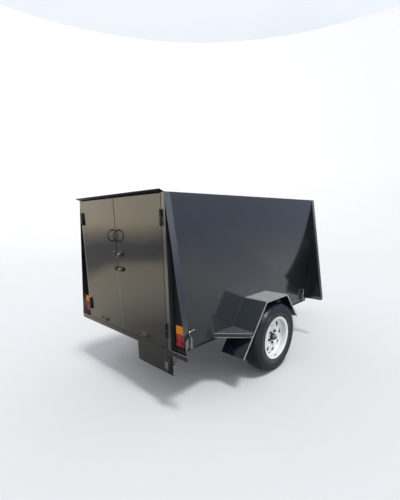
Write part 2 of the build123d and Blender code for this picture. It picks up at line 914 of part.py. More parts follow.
# Spring clamps: a plate under the beam and one over the spring, drawn together by four bolts
with BuildPart() as spring_clamps:
    beam_bottom_z = tyre_r - beam_s / 2
    bolt_half = clamp_l / 2 - clamp_bolt_inset
    for _, side in sides:
        clamp_x = side * rail_x
        for low_z in (beam_bottom_z - clamp_t, main_top_z + seat_gap):
            block(
                (clamp_x - clamp_l / 2, clamp_x + clamp_l / 2),
                (axle_y - clamp_l / 2, axle_y + clamp_l / 2),
                (low_z, low_z + clamp_t),
            )
        nut_z = beam_bottom_z - clamp_t - clamp_nut_h
        with BuildSketch(Plane.XY.offset(nut_z)):
            with Locations((clamp_x, axle_y)):
                with GridLocations(2 * bolt_half, 2 * bolt_half, 2, 2):
                    RegularPolygon(clamp_nut_r, 6)
        extrude(amount=clamp_nut_h)
        with BuildSketch(Plane.XY.offset(nut_z)):
            with Locations((clamp_x, axle_y)):
                with GridLocations(2 * bolt_half, 2 * bolt_half, 2, 2):
                    Circle(clamp_bolt_r)
        extrude(amount=main_top_z + seat_gap + clamp_t - nut_z)
finish(spring_clamps, "spring_clamps")

# Drawbar: two rails that meet in front of the body, with a head plate over them
drawbar_end_y = front_y + drawbar_l
with BuildPart() as drawbar_rails:
    for _, side in sides:
        with BuildSketch(Plane.XY.offset(rail_bottom_z)):
            with BuildLine():
                Polyline(
                    (side * (rail_x - rail_w / 2), front_y),
                    (side * (rail_x + rail_w / 2), front_y),
                    (side * (drawbar_nose_x + rail_w / 2), drawbar_end_y),
                    (side * (drawbar_nose_x - rail_w / 2), drawbar_end_y),
                    close=True,
                )
            make_face()
        extrude(amount=rail_h)
finish(drawbar_rails, "drawbar_rails")

with BuildPart() as head_plate:
    with BuildSketch(Plane.XY.offset(body_bottom_z)):
        with BuildLine():
            Polyline(
                (-head_plate_w / 2, drawbar_end_y - head_plate_l),
                (head_plate_w / 2, drawbar_end_y - head_plate_l),
                (head_plate_nose_w / 2, drawbar_end_y),
                (-head_plate_nose_w / 2, drawbar_end_y),
                close=True,
            )
        make_face()
        with Locations((0, jockey_y)):
            Circle(jockey_tube_r + seat_gap, mode=Mode.SUBTRACT)
    extrude(amount=head_plate_t)
finish(head_plate, "head_plate")

# Coupling: a pressed body with a bolted flange, over the tow ball, on the head plate, with its lever
plate_top_z = body_bottom_z + head_plate_t
coupling_rear_y = ball_y + nose_r - coupling_l
with BuildPart() as coupling:
    with BuildSketch(Plane.XY.offset(plate_top_z)):
        with Locations((0, ball_y)):
            Circle(nose_r - coupling_flange)
        with Locations((0, (ball_y + coupling_rear_y) / 2)):
            Rectangle(coupling_neck_w, ball_y - coupling_rear_y)
    extrude(amount=coupling_h, taper=coupling_taper)
    fillet(coupling.faces().sort_by(Axis.Z)[-1].edges(), radius=coupling_round)
    with BuildSketch(Plane.XY.offset(plate_top_z)):
        with Locations((0, ball_y)):
            Circle(nose_r)
        with Locations((0, (ball_y + coupling_rear_y) / 2)):
            Rectangle(coupling_neck_w + 2 * coupling_flange, ball_y - coupling_rear_y)
    extrude(amount=head_plate_t)
    with BuildSketch(Plane.XY.offset(plate_top_z + head_plate_t)):
        with Locations((0, coupling_rear_y + coupling_bolt_pitch)):
            with GridLocations(coupling_neck_w + coupling_flange, coupling_bolt_pitch, 2, 2):
                RegularPolygon(coupling_bolt_r, 6)
    extrude(amount=coupling_bolt_r)
    with BuildSketch(Plane.XY.offset(plate_top_z)):
        with Locations((0, ball_y)):
            Circle(socket_r)
    extrude(amount=socket_l, mode=Mode.SUBTRACT)
    with Locations((0, ball_y, plate_top_z + socket_l)):
        Sphere(socket_r, mode=Mode.SUBTRACT)
finish(coupling, "coupling")

with BuildPart() as coupling_lever:
    lever_base_z = plate_top_z + coupling_h
    with BuildSketch(Plane.YZ):
        with BuildLine():
            Polyline(
                (ball_y, lever_base_z),
                (ball_y - coupling_lever_l / 3, lever_base_z),
                (ball_y - coupling_lever_l, lever_base_z + coupling_lever_rise),
                (ball_y - coupling_lever_l, lever_base_z + coupling_lever_rise + coupling_lever_t),
                (ball_y - coupling_lever_l / 3, lever_base_z + 2 * coupling_lever_t),
                (ball_y, lever_base_z + 2 * coupling_lever_t),
                close=True,
            )
        make_face()
    extrude(amount=coupling_lever_w / 2, both=True)
finish(coupling_lever, "coupling_lever")

# Jockey wheel: collar, tubes and crank on the drawbar, then the swivelling fork and its wheel
with BuildPart() as jockey_collar:
    with BuildSketch(Plane.XY.offset(plate_top_z)):
        with Locations((0, jockey_y)):
            Circle(jockey_flange_r)
            Circle(jockey_tube_r + seat_gap, mode=Mode.SUBTRACT)
    extrude(amount=jockey_flange_t)
    with BuildSketch(Plane.XY.offset(plate_top_z)):
        with Locations((0, jockey_y)):
            Circle(jockey_collar_r)
            Circle(jockey_tube_r + seat_gap, mode=Mode.SUBTRACT)
    extrude(amount=jockey_collar_h)
finish(jockey_collar, "jockey_collar")

with BuildPart() as jockey_tube:
    with BuildSketch(Plane.XY.offset(jockey_tube_bottom_z)):
        with Locations((0, jockey_y)):
            Circle(jockey_tube_r)
            Circle(jockey_tube_r - jockey_tube_t, mode=Mode.SUBTRACT)
    extrude(amount=jockey_tube_top_z - jockey_tube_bottom_z)
finish(jockey_tube, "jockey_tube")

jockey_inner_r = jockey_tube_r - jockey_tube_t - seat_gap
with BuildPart() as jockey_inner_tube:
    with BuildSketch(Plane.XY.offset(jockey_inner_bottom_z)):
        with Locations((0, jockey_y)):
            Circle(jockey_inner_r)
    extrude(amount=jockey_inner_top_z - jockey_inner_bottom_z)
    with BuildSketch(Plane.XY.offset(jockey_inner_bottom_z)):
        with Locations((0, jockey_y)):
            Circle(jockey_pin_r + pin_gap)
    extrude(amount=jockey_pin_l + seat_gap, mode=Mode.SUBTRACT)
finish(jockey_inner_tube, "jockey_inner_tube")

with BuildPart() as jockey_crank:
    with BuildSketch(Plane.XY.offset(jockey_tube_top_z)):
        with Locations((0, jockey_y)):
            Circle(jockey_tube_r)
    extrude(amount=crank_cap_h)
    with BuildLine():
        crank_z = jockey_tube_top_z + crank_cap_h + 2 * crank_rod_r
        path = FilletPolyline(
            (0, jockey_y, jockey_tube_top_z + crank_cap_h / 2),
            (0, jockey_y, crank_z),
            (0, jockey_y - crank_l, crank_z),
            (0, jockey_y - crank_l, crank_z + crank_grip_l + crank_grip_r),
            radius=2 * crank_rod_r,
        )
    with BuildSketch(Plane(path @ 0, z_dir=path % 0)):
        Circle(crank_rod_r)
    sweep(path=path)
    with BuildSketch(Plane.XY.offset(crank_z + crank_grip_r)):
        with Locations((0, jockey_y - crank_l)):
            Circle(crank_grip_r)
    extrude(amount=crank_grip_l)
finish(jockey_crank, "jockey_crank")

fork_top_z = jockey_inner_bottom_z - seat_gap
fork_inner_x = jockey_wheel_w / 2 + jockey_fork_gap
jockey_wheel_y = jockey_y - jockey_trail
with BuildPart() as jockey_fork:
    block(
        (-fork_inner_x - jockey_fork_t, fork_inner_x + jockey_fork_t),
        (jockey_wheel_y - jockey_fork_w / 2, jockey_y + jockey_fork_w / 2),
        (fork_top_z - jockey_fork_t, fork_top_z),
    )
    for _, side in sides:
        with BuildSketch(Plane.YZ.offset(side * fork_inner_x)):
            with BuildLine():
                Polyline(
                    (jockey_wheel_y - jockey_fork_w / 2, fork_top_z),
                    (jockey_y + jockey_fork_w / 2, fork_top_z),
                    (jockey_wheel_y + jockey_fork_w / 2, jockey_wheel_r),
                    (jockey_wheel_y - jockey_fork_w / 2, jockey_wheel_r),
                    close=True,
                )
            make_face()
            with Locations((jockey_wheel_y, jockey_wheel_r)):
                Circle(jockey_fork_w / 2)
        extrude(amount=side * jockey_fork_t)
    with BuildSketch(Plane.XY.offset(fork_top_z)):
        with Locations((0, jockey_y)):
            Circle(jockey_pin_r)
    extrude(amount=jockey_pin_l)
    with Locations(Plane((0, jockey_wheel_y, jockey_wheel_r), z_dir=(1, 0, 0))):
        Cylinder(jockey_axle_r, 2 * fork_inner_x + 2 * jockey_fork_t)
finish(jockey_fork, "jockey_fork")

with BuildPart() as jockey_wheel:
    with BuildSketch(Plane((0, jockey_wheel_y, jockey_wheel_r), x_dir=(1, 0, 0), z_dir=(0, -1, 0))):
        with BuildLine():
            Polyline(
                (-jockey_wheel_w / 2, jockey_axle_r + pin_gap),
                (-jockey_wheel_w / 2, jockey_wheel_r - jockey_shoulder),
                (-jockey_wheel_w / 2 + jockey_shoulder, jockey_wheel_r),
                (jockey_wheel_w / 2 - jockey_shoulder, jockey_wheel_r),
                (jockey_wheel_w / 2, jockey_wheel_r - jockey_shoulder),
                (jockey_wheel_w / 2, jockey_axle_r + pin_gap),
                close=True,
            )
        make_face()
    revolve(axis=Axis((0, jockey_wheel_y, jockey_wheel_r), (1, 0, 0)), revolution_arc=360)
finish(jockey_wheel, "jockey_wheel")

# Sprung corner latches near each end of the side walls
with BuildPart() as side_latches:
    for _, side in sides:
        for end_y, inward in ((rear_y, 1), (front_y, -1)):
            y_mid = end_y + inward * latch_y
            plate_low_z = body_bottom_z
            rod_x = side * (half_w + latch_stand)
            plate_edge_y = y_mid + inward * latch_plate_ahead
            block(
                sorted((side * half_w, side * (half_w + latch_plate_t))),
                sorted((plate_edge_y, plate_edge_y - inward * latch_plate_w)),
                (plate_low_z, plate_low_z + latch_plate_h),
            )
            for lug_z in (plate_low_z, plate_low_z + latch_plate_h - latch_lug_t):
                block(
                    sorted((side * half_w, side * (half_w + latch_lug_w))),
                    sorted((plate_edge_y, plate_edge_y - inward * latch_lug_w)),
                    (lug_z, lug_z + latch_lug_t),
                )
            with BuildSketch(Plane.XY.offset(plate_low_z)):
                with Locations((rod_x, y_mid)):
                    Circle(latch_spring_r)
            extrude(amount=latch_plate_h)
            grip_end_y = y_mid + inward * (latch_grip - latch_lean)
            with BuildLine():
                path = FilletPolyline(
                    (rod_x, y_mid, plate_low_z),
                    (rod_x, y_mid, plate_low_z + latch_plate_h),
                    (rod_x, y_mid - inward * latch_lean, plate_low_z + latch_rod_top),
                    (rod_x, grip_end_y, plate_low_z + latch_rod_top + latch_rise),
                    radius=latch_bend_r,
                )
            with BuildSketch(Plane(path @ 0, z_dir=path % 0)):
                Circle(latch_rod_r)
            sweep(path=path)
finish(side_latches, "side_latches")
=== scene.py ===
# %% [markdown]
# # An enclosed cargo trailer, dressed for its portrait
# The CAD model already has every panel in its place. This lesson loads it as a fixed frame,
# and then gives each piece the finish and the fine detail that a real trailer has.
# Every length in the helpers below is in millimetres, because a trailer builder thinks in them.

# %% Load the frame
import json
import math

import bmesh
import bpy
from mathutils import Matrix, Vector


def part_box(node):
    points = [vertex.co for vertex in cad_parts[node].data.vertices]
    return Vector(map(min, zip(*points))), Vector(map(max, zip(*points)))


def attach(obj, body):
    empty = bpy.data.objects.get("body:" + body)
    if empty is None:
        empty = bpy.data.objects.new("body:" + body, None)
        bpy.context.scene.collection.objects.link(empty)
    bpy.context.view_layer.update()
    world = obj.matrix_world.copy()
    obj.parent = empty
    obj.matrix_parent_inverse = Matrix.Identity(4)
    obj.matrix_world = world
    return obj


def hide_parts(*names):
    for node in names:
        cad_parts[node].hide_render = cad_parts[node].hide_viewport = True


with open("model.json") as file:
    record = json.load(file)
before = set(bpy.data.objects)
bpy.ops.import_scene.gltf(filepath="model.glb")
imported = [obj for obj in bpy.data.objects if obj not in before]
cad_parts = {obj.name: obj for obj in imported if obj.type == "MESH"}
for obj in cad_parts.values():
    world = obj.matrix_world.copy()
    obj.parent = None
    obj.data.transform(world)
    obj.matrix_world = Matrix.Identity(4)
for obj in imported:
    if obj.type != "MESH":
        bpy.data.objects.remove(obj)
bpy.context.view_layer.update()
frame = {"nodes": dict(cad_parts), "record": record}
MM = 0.001
scene = bpy.context.scene

# %% [markdown]
# ## Where things are
# A piece that is added later has to sit on the CAD piece that carries it. So each place is
# read from the frame's own boxes, and not typed in again: if a size changes in the CAD,
# the dressing follows it.


# %% Places in millimetres
def box_mm(node_name):
    low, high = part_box(node_name)
    return Vector(low) / MM, Vector(high) / MM


def middle(node_name):
    low, high = box_mm(node_name)
    return (low + high) / 2


sides = (("right", 1), ("left", -1))
bodies = frame["record"]["behaviour"]["bodies"]
node_body = {node_name: body for body, names in bodies.items() for node_name in names}
half_w, front_y, _ = box_mm("wall_right")[1]
rear_y = box_mm("door_right")[0].y
sill_high = box_mm("sill_rear")[1].z
wheel_mid, axle_y, axle_z = middle("tyre_right")
tyre_r = box_mm("tyre_right")[1].z - axle_z
print("body half width", round(half_w), "rear", round(rear_y), "front", round(front_y))

# %% [markdown]
# ## The camera
# The photograph was taken from behind and to the right, at about chest height, with a wide
# lens held a little crooked. The place, the turn and the roll were found by matching the
# corners of the body. The shift moves the picture's middle without turning the camera, and
# it is small, because it stays when the camera moves to the other views.

# %% Make the camera
azimuth, elevation, roll = (math.radians(a) for a in (43.93, 12.207, -1.085))
back = Vector((
    math.sin(azimuth) * math.cos(elevation),
    -math.cos(azimuth) * math.cos(elevation),
    math.sin(elevation),
))
flat_right = (-back).cross(Vector((0, 0, 1))).normalized()
flat_up = flat_right.cross(-back)
cam_right = math.cos(roll) * flat_right + math.sin(roll) * flat_up
cam_up = math.cos(roll) * flat_up - math.sin(roll) * flat_right
turn = Matrix((cam_right, cam_up, back)).transposed()
camera_data = bpy.data.cameras.new("photo_camera")
camera = bpy.data.objects.new("photo_camera", camera_data)
camera.matrix_world = Matrix.Translation((2.2300, -2.8558, 1.4191)) @ turn.to_4x4()
camera_data.sensor_width, camera_data.lens, camera_data.clip_end = 36, 22.19, 200
camera_data.shift_x, camera_data.shift_y = -0.0120, 0.0693
scene.collection.objects.link(camera)
scene.camera = camera
print("camera looks along", [round(c, 3) for c in -back])

# %% [markdown]
# ## The studio
# A pale floor that runs up into a pale wall all round makes a cyclorama, with no horizon in
# any view. It is not part of the trailer, so it is marked as stage. The wall glows a little
# towards its top, as paper does that is lit from behind.


# %% Helpers for materials
def fill(tree, made, inputs):
    """Each input gets its value, or a wire where a socket is given."""
    for key, value in inputs.items():
        if hasattr(value, "is_output"):
            tree.links.new(value, made.inputs[key])
        else:
            made.inputs[key].default_value = value
    return made


def node(tree, kind, inputs, **settings):
    made = tree.nodes.new(kind)
    for key, value in settings.items():
        setattr(made, key, value)
    return fill(tree, made, inputs)


def new_material(name):
    """A material's tree, its shader and the Object coordinates."""
    material = bpy.data.materials.new(name)
    material.use_nodes = True
    tree = material.node_tree
    place = node(tree, "ShaderNodeTexCoord", {}).outputs["Object"]
    return material, tree, tree.nodes["Principled BSDF"], place


def noise(tree, place, scale, detail=2):
    inputs = {"Scale": scale, "Detail": detail, "Vector": place}
    return node(tree, "ShaderNodeTexNoise", inputs).outputs["Fac"]


def ramp(tree, source, stops):
    made = node(tree, "ShaderNodeValToRGB", {"Fac": source})
    elements = made.color_ramp.elements
    while len(elements) < len(stops):
        elements.new(0.5)
    for element, (place, colour) in zip(elements, stops):
        element.position = place
        element.color = (*colour, 1)
    return made.outputs["Color"]


def spread(tree, source, low, high, to_low=0, to_high=1):
    inputs = {"Value": source, "From Min": low, "From Max": high}
    inputs.update({"To Min": to_low, "To Max": to_high})
    return node(tree, "ShaderNodeMapRange", inputs).outputs["Result"]


def split_height(tree, place):
    return node(tree, "ShaderNodeSeparateXYZ", {"Vector": place}).outputs["Z"]


def bump(tree, height, strength, distance):
    inputs = {"Height": height, "Strength": strength, "Distance": distance}
    return node(tree, "ShaderNodeBump", inputs).outputs["Normal"]


print("material helpers ready")

# %% Floor and wall
bowl_material, tree, shader, place = new_material("studio_paper")
fill(tree, shader, {
    "Base Color": (0.57, 0.57, 0.575, 1),
    "Roughness": 0.9,
    "Emission Color": (0.99, 0.99, 1, 1),
    "Emission Strength": spread(tree, split_height(tree, place), 0, 3.0, 0, 0.42),
})
floor_r, cove_r, wall_top, turns = 9, 3, 9, 64
cove = [math.pi / 2 * i / 12 for i in range(1, 13)]
rim = [(0, 0), (4, 0), (floor_r, 0)]
rim += [(floor_r + cove_r * math.sin(a), cove_r - cove_r * math.cos(a)) for a in cove]
rim += [(floor_r + cove_r, wall_top)]
bowl_points = []
for radius, height in rim:
    for angle in (math.tau * step / turns for step in range(turns)):
        bowl_points.append((radius * math.cos(angle), radius * math.sin(angle), height - 0.0005))
bowl_faces = []
for ring in range(len(rim) - 1):
    for step in range(turns):
        near, far, following = ring * turns, (ring + 1) * turns, (step + 1) % turns
        bowl_faces.append((near + step, far + step, far + following, near + following))
bowl_mesh = bpy.data.meshes.new("studio_bowl")
bowl_mesh.from_pydata(bowl_points, [], bowl_faces)
bowl_mesh.materials.append(bowl_material)
bowl_mesh.polygons.foreach_set("use_smooth", [True] * len(bowl_faces))
bowl = bpy.data.objects.new("studio_bowl", bowl_mesh)
scene.collection.objects.link(bowl)
bowl.visible_glossy = False
print("cyclorama of", len(bowl_faces), "faces")

# %% [markdown]
# ## Light
# A broad lamp nearly overhead draws the dark pool under the trailer. Gloss needs something to
# mirror: the paper is kept out of the reflections, and the world behind it is painted as a quiet
# yard, warm behind the trailer and bluish ahead of it, with one dark band below the horizon.

# %% Lights
overhead_data = bpy.data.lights.new("overhead", "SUN")
overhead_data.energy, overhead_data.angle = 2.05, math.radians(11)
overhead = bpy.data.objects.new("overhead", overhead_data)
back_lean, side_lean = math.radians(3), math.radians(19)
overhead.matrix_world = Matrix.Rotation(back_lean, 4, "X") @ Matrix.Rotation(side_lean, 4, "Y")
scene.collection.objects.link(overhead)

world = bpy.data.worlds.new("yard")
scene.world = world
world.use_nodes = True
tree = world.node_tree
place = node(tree, "ShaderNodeTexCoord", {}).outputs["Generated"]
lift = spread(tree, noise(tree, place, 2.2), 0.3, 0.7, -0.05, 0.05)
height = node(tree, "ShaderNodeMath", {0: split_height(tree, place), 1: lift}, operation="ADD")
level = spread(tree, height.outputs["Value"], -0.5, 0.5)
behind_stops = (
    (0.00, (0.06, 0.06, 0.06)),
    (0.12, (0.13, 0.125, 0.115)),
    (0.17, (0.27, 0.255, 0.215)),
    (0.22, (0.38, 0.35, 0.28)),
    (0.26, (0.42, 0.375, 0.29)),
    (0.305, (0.42, 0.37, 0.28)),
    (0.338, (0.10, 0.10, 0.105)),
    (0.405, (0.075, 0.076, 0.085)),
    (0.445, (0.26, 0.23, 0.18)),
    (0.49, (0.66, 0.58, 0.42)),
    (0.60, (0.66, 0.58, 0.46)),
    (1.00, (0.55, 0.58, 0.62)),
)
ahead_stops = (
    (0.00, (0.16, 0.16, 0.165)),
    (0.20, (0.24, 0.245, 0.26)),
    (0.36, (0.17, 0.19, 0.22)),
    (0.45, (0.15, 0.17, 0.23)),
    (0.55, (0.16, 0.18, 0.24)),
    (0.70, (0.40, 0.44, 0.50)),
    (1.00, (0.55, 0.58, 0.62)),
)
toward = node(tree, "ShaderNodeVectorMath", {0: place, 1: (0.7, 0.7, 0)}, operation="DOT_PRODUCT")
blend = node(tree, "ShaderNodeMix", {
    0: spread(tree, toward.outputs["Value"], -0.4, 0.4),
    6: ramp(tree, level, behind_stops),
    7: ramp(tree, level, ahead_stops),
}, data_type="RGBA")
fill(tree, tree.nodes["Background"], {"Color": blend.outputs[2], "Strength": 1.6})
scene.view_settings.view_transform = "Standard"

# %% [markdown]
# ## The gunmetal paint
# The body is sprayed in a dark metallic grey and cleared. Three things make such paint: a dark
# base with fine flakes, a glossy clear coat, and the slight waviness of sheet that was welded.
# Object coordinates are used, so the pattern stays put on each panel.


def metal_paint(name, base, flake, coat_roughness, wave=0.12, roughness=0.42):
    material, tree, shader, place = new_material(name)
    broad = noise(tree, place, 1.7, 3)
    fill(tree, shader, {
        "Base Color": ramp(tree, noise(tree, place, 900), ((0.35, base), (0.75, flake))),
        "Roughness": spread(tree, broad, 0.3, 0.7, roughness - 0.05, roughness + 0.05),
        "Metallic": 0.7,
        "Coat Weight": 1,
        "Coat Roughness": coat_roughness,
        "Coat IOR": 2.1,
        "Coat Normal": bump(tree, broad, wave, 0.01),
    })
    return material


gunmetal = (0.014, 0.016, 0.021), (0.040, 0.045, 0.056)
body_paint = metal_paint("gunmetal_paint", *gunmetal, 0.085)
wall_paint = metal_paint("wall_gunmetal_paint", *gunmetal, 0.10, wave=0.05)
# The guards get a darker, bluer copy of the same gunmetal paint, as painted shade.
guard_shade_colours = (0.004, 0.009, 0.020), (0.012, 0.024, 0.046)
shaded_guard_paint = metal_paint("shaded_guard_gunmetal_paint", *guard_shade_colours, 0.10)
post_colours = (0.07, 0.073, 0.08), (0.14, 0.145, 0.155)
post_paint = metal_paint("sunlit_gunmetal_paint", *post_colours, 0.12)

# %% [markdown]
# The other finishes are one recipe with other numbers. Each has the name, a dark and a light
# colour, how metallic and how rough it is, and the scale and depth of its grain.
# The last number, where there is one, is how much clear coat it has.


# %% The other finishes
def finish(name, dark, light, metallic, roughness, scale, grain, coat=0.0):
    """A finish whose colour and gloss wander between two values over a noise."""
    material, tree, shader, place = new_material(name)
    cloud = noise(tree, place, scale, 4)
    fill(tree, shader, {
        "Base Color": ramp(tree, cloud, ((0.3, dark), (0.7, light))),
        "Roughness": spread(tree, cloud, 0.3, 0.7, roughness - 0.08, roughness + 0.08),
        "Metallic": metallic,
        "Coat Weight": coat,
        "Normal": bump(tree, noise(tree, place, scale * 6), grain, 0.0006),
    })
    return material


def grey(level):
    return level, level, level


shaded_paint = finish(
    "shaded_paint", (0.001, 0.003, 0.007), (0.004, 0.009, 0.016), 0.2, 0.5, 40, 0.2)
# A pale grey laid on edges, lips and bars as a painted highlight, where they catch the light.
pale_highlight_paint = finish(
    "pale_highlight_paint", (0.22, 0.225, 0.23), (0.62, 0.63, 0.62), 0.35, 0.45, 120, 0.3)
scuffed_paint = finish(
    "scuffed_paint", (0.018, 0.021, 0.027), (0.13, 0.137, 0.15), 0.5, 0.42, 170, 0.4)
# A paler grey for the guard's top facet: partly painted light falling from above, partly scuffing.
lit_and_scuffed_top_paint = finish(
    "lit_and_scuffed_top_paint", (0.07, 0.072, 0.074), (0.46, 0.465, 0.45), 0.3, 0.5, 170, 0.4)
black_rubber = finish(
    "tyre_rubber", (0.008, 0.0095, 0.014), (0.020, 0.023, 0.031), 0, 0.36, 60, 0.25)
scuffed_rubber = finish(
    "scuffed_rubber", (0.012, 0.013, 0.016), (0.085, 0.09, 0.095), 0, 0.55, 38, 0.3)
# Near black for faces behind the disc and in the vents: partly brake dust, partly painted shade.
brake_dust_and_shade = finish(
    "brake_dust_and_shade", (0.004, 0.004, 0.005), grey(0.014), 0, 0.85, 30, 0.2)
rim_white = finish(
    "rim_enamel", (0.78, 0.81, 0.79), (0.84, 0.86, 0.84), 0, 0.28, 9, 0.05, 0.6)
# A greyer copy of the rim enamel for the barrel's inner faces, as painted shade.
rim_barrel = finish(
    "rim_barrel_shaded_enamel",
    (0.56, 0.595, 0.58), (0.64, 0.67, 0.655), 0, 0.34, 9, 0.05, 0.4)
dull_zinc = finish("dull_zinc", (0.10, 0.10, 0.105), grey(0.30), 0.9, 0.45, 140, 0.2)
zinc = finish("zinc_plate", (0.32, 0.33, 0.34), (0.62, 0.63, 0.62), 0.95, 0.32, 140, 0.2)
bolt_black = finish(
    "bolt_black", (0.015, 0.016, 0.019), (0.10, 0.105, 0.11), 0.9, 0.3, 160, 0.2)
black_steel = finish(
    "black_steel",
    (0.008, 0.008, 0.009), (0.02, 0.02, 0.021), 0.3, 0.33, 90, 0.2, 0.4)
black_plastic = finish(
    "black_plastic",
    (0.008, 0.008, 0.009), (0.014, 0.014, 0.015), 0, 0.4, 300, 0.25)
moulded_grey = finish(
    "moulded_grey", (0.10, 0.10, 0.105), (0.17, 0.17, 0.175), 0, 0.45, 60, 0.15)
chassis_black = finish(
    "chassis_paint",
    (0.012, 0.012, 0.013), (0.03, 0.03, 0.031), 0.2, 0.35, 40, 0.3, 0.3)
floor_plate = finish(
    "floor_plate", grey(0.10), (0.20, 0.20, 0.195), 0.6, 0.45, 25, 0.3)


# %% Lenses
def lens(name, colour, glow_colour):
    """Clear plastic with small moulded cells."""
    material, tree, shader, place = new_material(name)
    cells = node(tree, "ShaderNodeTexVoronoi", {"Scale": 220, "Vector": place}).outputs["Distance"]
    fill(tree, shader, {
        "Base Color": ramp(tree, cells, ((0.0, colour), (0.6, glow_colour))),
        "Roughness": 0.12,
        "Coat Weight": 1,
        "Transmission Weight": 0.15,
        "Normal": bump(tree, cells, 0.35, 0.001),
    })
    return material


lens_amber = lens("lens_amber", (0.50, 0.13, 0.002), (0.74, 0.24, 0.005))
lens_red = lens("lens_red", (0.17, 0.002, 0.008), (0.30, 0.006, 0.018))
lens_clear = lens("lens_clear", (0.05, 0.052, 0.055), (0.12, 0.125, 0.13))
print("finishes:", [m.name for m in bpy.data.materials])

# %% [markdown]
# ## A small kit of shapes
# Real parts are turned, folded, bent or cut, so the helpers are named for that. Each one adds to
# an open bmesh in millimetres. Edges get a small bevel, because an edge that is perfectly sharp
# catches no light and looks like a toy.


# %% Skins, slices and blocks
def roll_edges(shape, edges, offset, segments=1, clamp=False):
    bmesh.ops.bevel(
        shape, geom=list(edges), offset=offset, segments=segments,
        affect="EDGES", profile=0.5, clamp_overlap=clamp)


def edges_of(verts):
    return {edge for vert in verts for edge in vert.link_edges}


def skin(shape, rings):
    """Faces between each ring of corners and the next. A ring of one corner is a pole."""
    steps = max(len(ring) for ring in rings)
    for first, second in zip(rings, rings[1:]):
        for i in range(steps):
            j = (i + 1) % steps
            corners = [first[i % len(first)], first[j % len(first)],
                       second[j % len(second)], second[i % len(second)]]
            corners = list(dict.fromkeys(corners))
            if len(corners) > 2:
                shape.faces.new(corners)


def add_slices(shape, slices):
    """Closed outlines, skinned one to the next and capped at both ends."""
    rings = [[shape.verts.new(corner) for corner in corners] for corners in slices]
    shape.faces.new(rings[0][::-1])
    shape.faces.new(rings[-1])
    skin(shape, rings)
    return rings


def add_block(shape, first, second, bevel=0.8, steps=2):
    """A block between two opposite corners, with its edges rolled over."""
    first, second = Vector(first), Vector(second)
    size = Vector(abs(f - s) for f, s in zip(first, second))
    place = Matrix.Translation((first + second) / 2) @ Matrix.Diagonal((*size, 1))
    made = bmesh.ops.create_cube(shape, size=1, matrix=place)
    roll_edges(shape, edges_of(made["verts"]), bevel, steps)


print("helpers for slices and blocks ready")

# %% [markdown]
# Most small parts of a trailer were made on a lathe: a profile is turned round an axis. Rods, nuts
# and washers are turned too, a nut in six steps.


# %% Turned parts
def add_turned(shape, centre, axis, profile, steps=48):
    """A profile of (along the axis, radius), turned round it. A radius of zero makes a pole."""
    place = Matrix.Translation(centre) @ Vector(axis).to_track_quat("Z", "Y").to_matrix().to_4x4()
    rings = []
    for along_axis, radius in profile:
        ring = []
        for angle in (math.tau * step / steps for step in range(steps if radius else 1)):
            spot = (radius * math.cos(angle), radius * math.sin(angle), along_axis)
            ring.append(shape.verts.new(place @ Vector(spot)))
        rings.append(ring)
    skin(shape, rings)
    return rings


def add_closed_turn(shape, centre, axis, profile, steps=96):
    """A ring: the profile closes on itself."""
    rings = add_turned(shape, centre, axis, profile, steps)
    skin(shape, [rings[-1], rings[0]])


def add_rod(shape, start, end, radius, steps=12, chamfer=0.6):
    start, end = Vector(start), Vector(end)
    length = (end - start).length
    cut = min(chamfer, radius * 0.4, length * 0.4)
    profile = [(0, 0), (0, radius - cut), (cut, radius)]
    profile += [(length - cut, radius), (length, radius - cut), (length, 0)]
    add_turned(shape, start, end - start, profile, steps)


def add_nut(shape, start, axis, across, height):
    """A hexagon nut with its corners turned down."""
    radius = across / math.sqrt(3)
    cut = radius * 0.12
    profile = [(0, 0), (0, radius), (height - cut, radius), (height, radius - cut * 1.6)]
    add_turned(shape, start, axis, profile + [(height, 0)], 6)


def add_bolt_end(shape, spot, axis, washer, nut, tail=None, steps=20, sunk=0.3):
    """A washer (radius, thickness), a nut (start, across, height) and a rod's end."""
    spot, axis = Vector(spot), Vector(axis)
    radius, thick = washer
    profile = [(-sunk, 0), (-sunk, radius), (thick, radius), (thick, 0)]
    add_turned(shape, spot, axis, profile, steps)
    add_nut(shape, spot + axis * nut[0], axis, *nut[1:])
    if tail:
        start, end, tail_r, tail_steps = tail
        add_rod(shape, spot + axis * start, spot + axis * end, tail_r, tail_steps)


print("helpers for turned parts ready")

# %% [markdown]
# The rest is sheet, which is flat or follows a bent line, and rod, which is bent to a radius.


# %% Sheets, bends and tubes
def add_sheet(shape, outline, thickness, bevel=0.0):
    """A flat outline of 3-D points, thickened along the given vector."""
    outline = [Vector(point) for point in outline]
    rings = add_slices(shape, [outline, [point + Vector(thickness) for point in outline]])
    if bevel:
        roll_edges(shape, edges_of(rings[0] + rings[1]), bevel)


def add_strip(shape, line, near_x, far_x, outer, inner):
    """A band along a line of (y, z) points, between two places across and two depths."""
    slices = []
    for index, here in enumerate(line):
        before, after = line[max(index - 1, 0)], line[min(index + 1, len(line) - 1)]
        run = (Vector(after) - Vector(before)).normalized()
        normal = Vector((-run.y, run.x))
        high, low = Vector(here) + normal * outer, Vector(here) + normal * inner
        slices.append([(near_x, *high), (far_x, *high), (far_x, *low), (near_x, *low)])
    add_slices(shape, slices)


def bent_path(points, radius, arc_steps=6):
    """The corners of a path, each rounded to the bend radius."""
    points = [Vector(p) for p in points]
    path = [points[0]]
    for before, corner, after in zip(points, points[1:], points[2:]):
        into, out = (before - corner).normalized(), (after - corner).normalized()
        half_angle = into.angle(out) / 2
        reach = radius / math.tan(half_angle)
        centre = corner + (into + out).normalized() * (radius / math.sin(half_angle))
        first, last = corner + into * reach - centre, corner + out * reach - centre
        sweep = first.angle(last)
        for part in (step / arc_steps for step in range(arc_steps + 1)):
            spoke = first * math.sin((1 - part) * sweep) + last * math.sin(part * sweep)
            path.append(centre + spoke / math.sin(sweep))
    return path + [points[-1]]


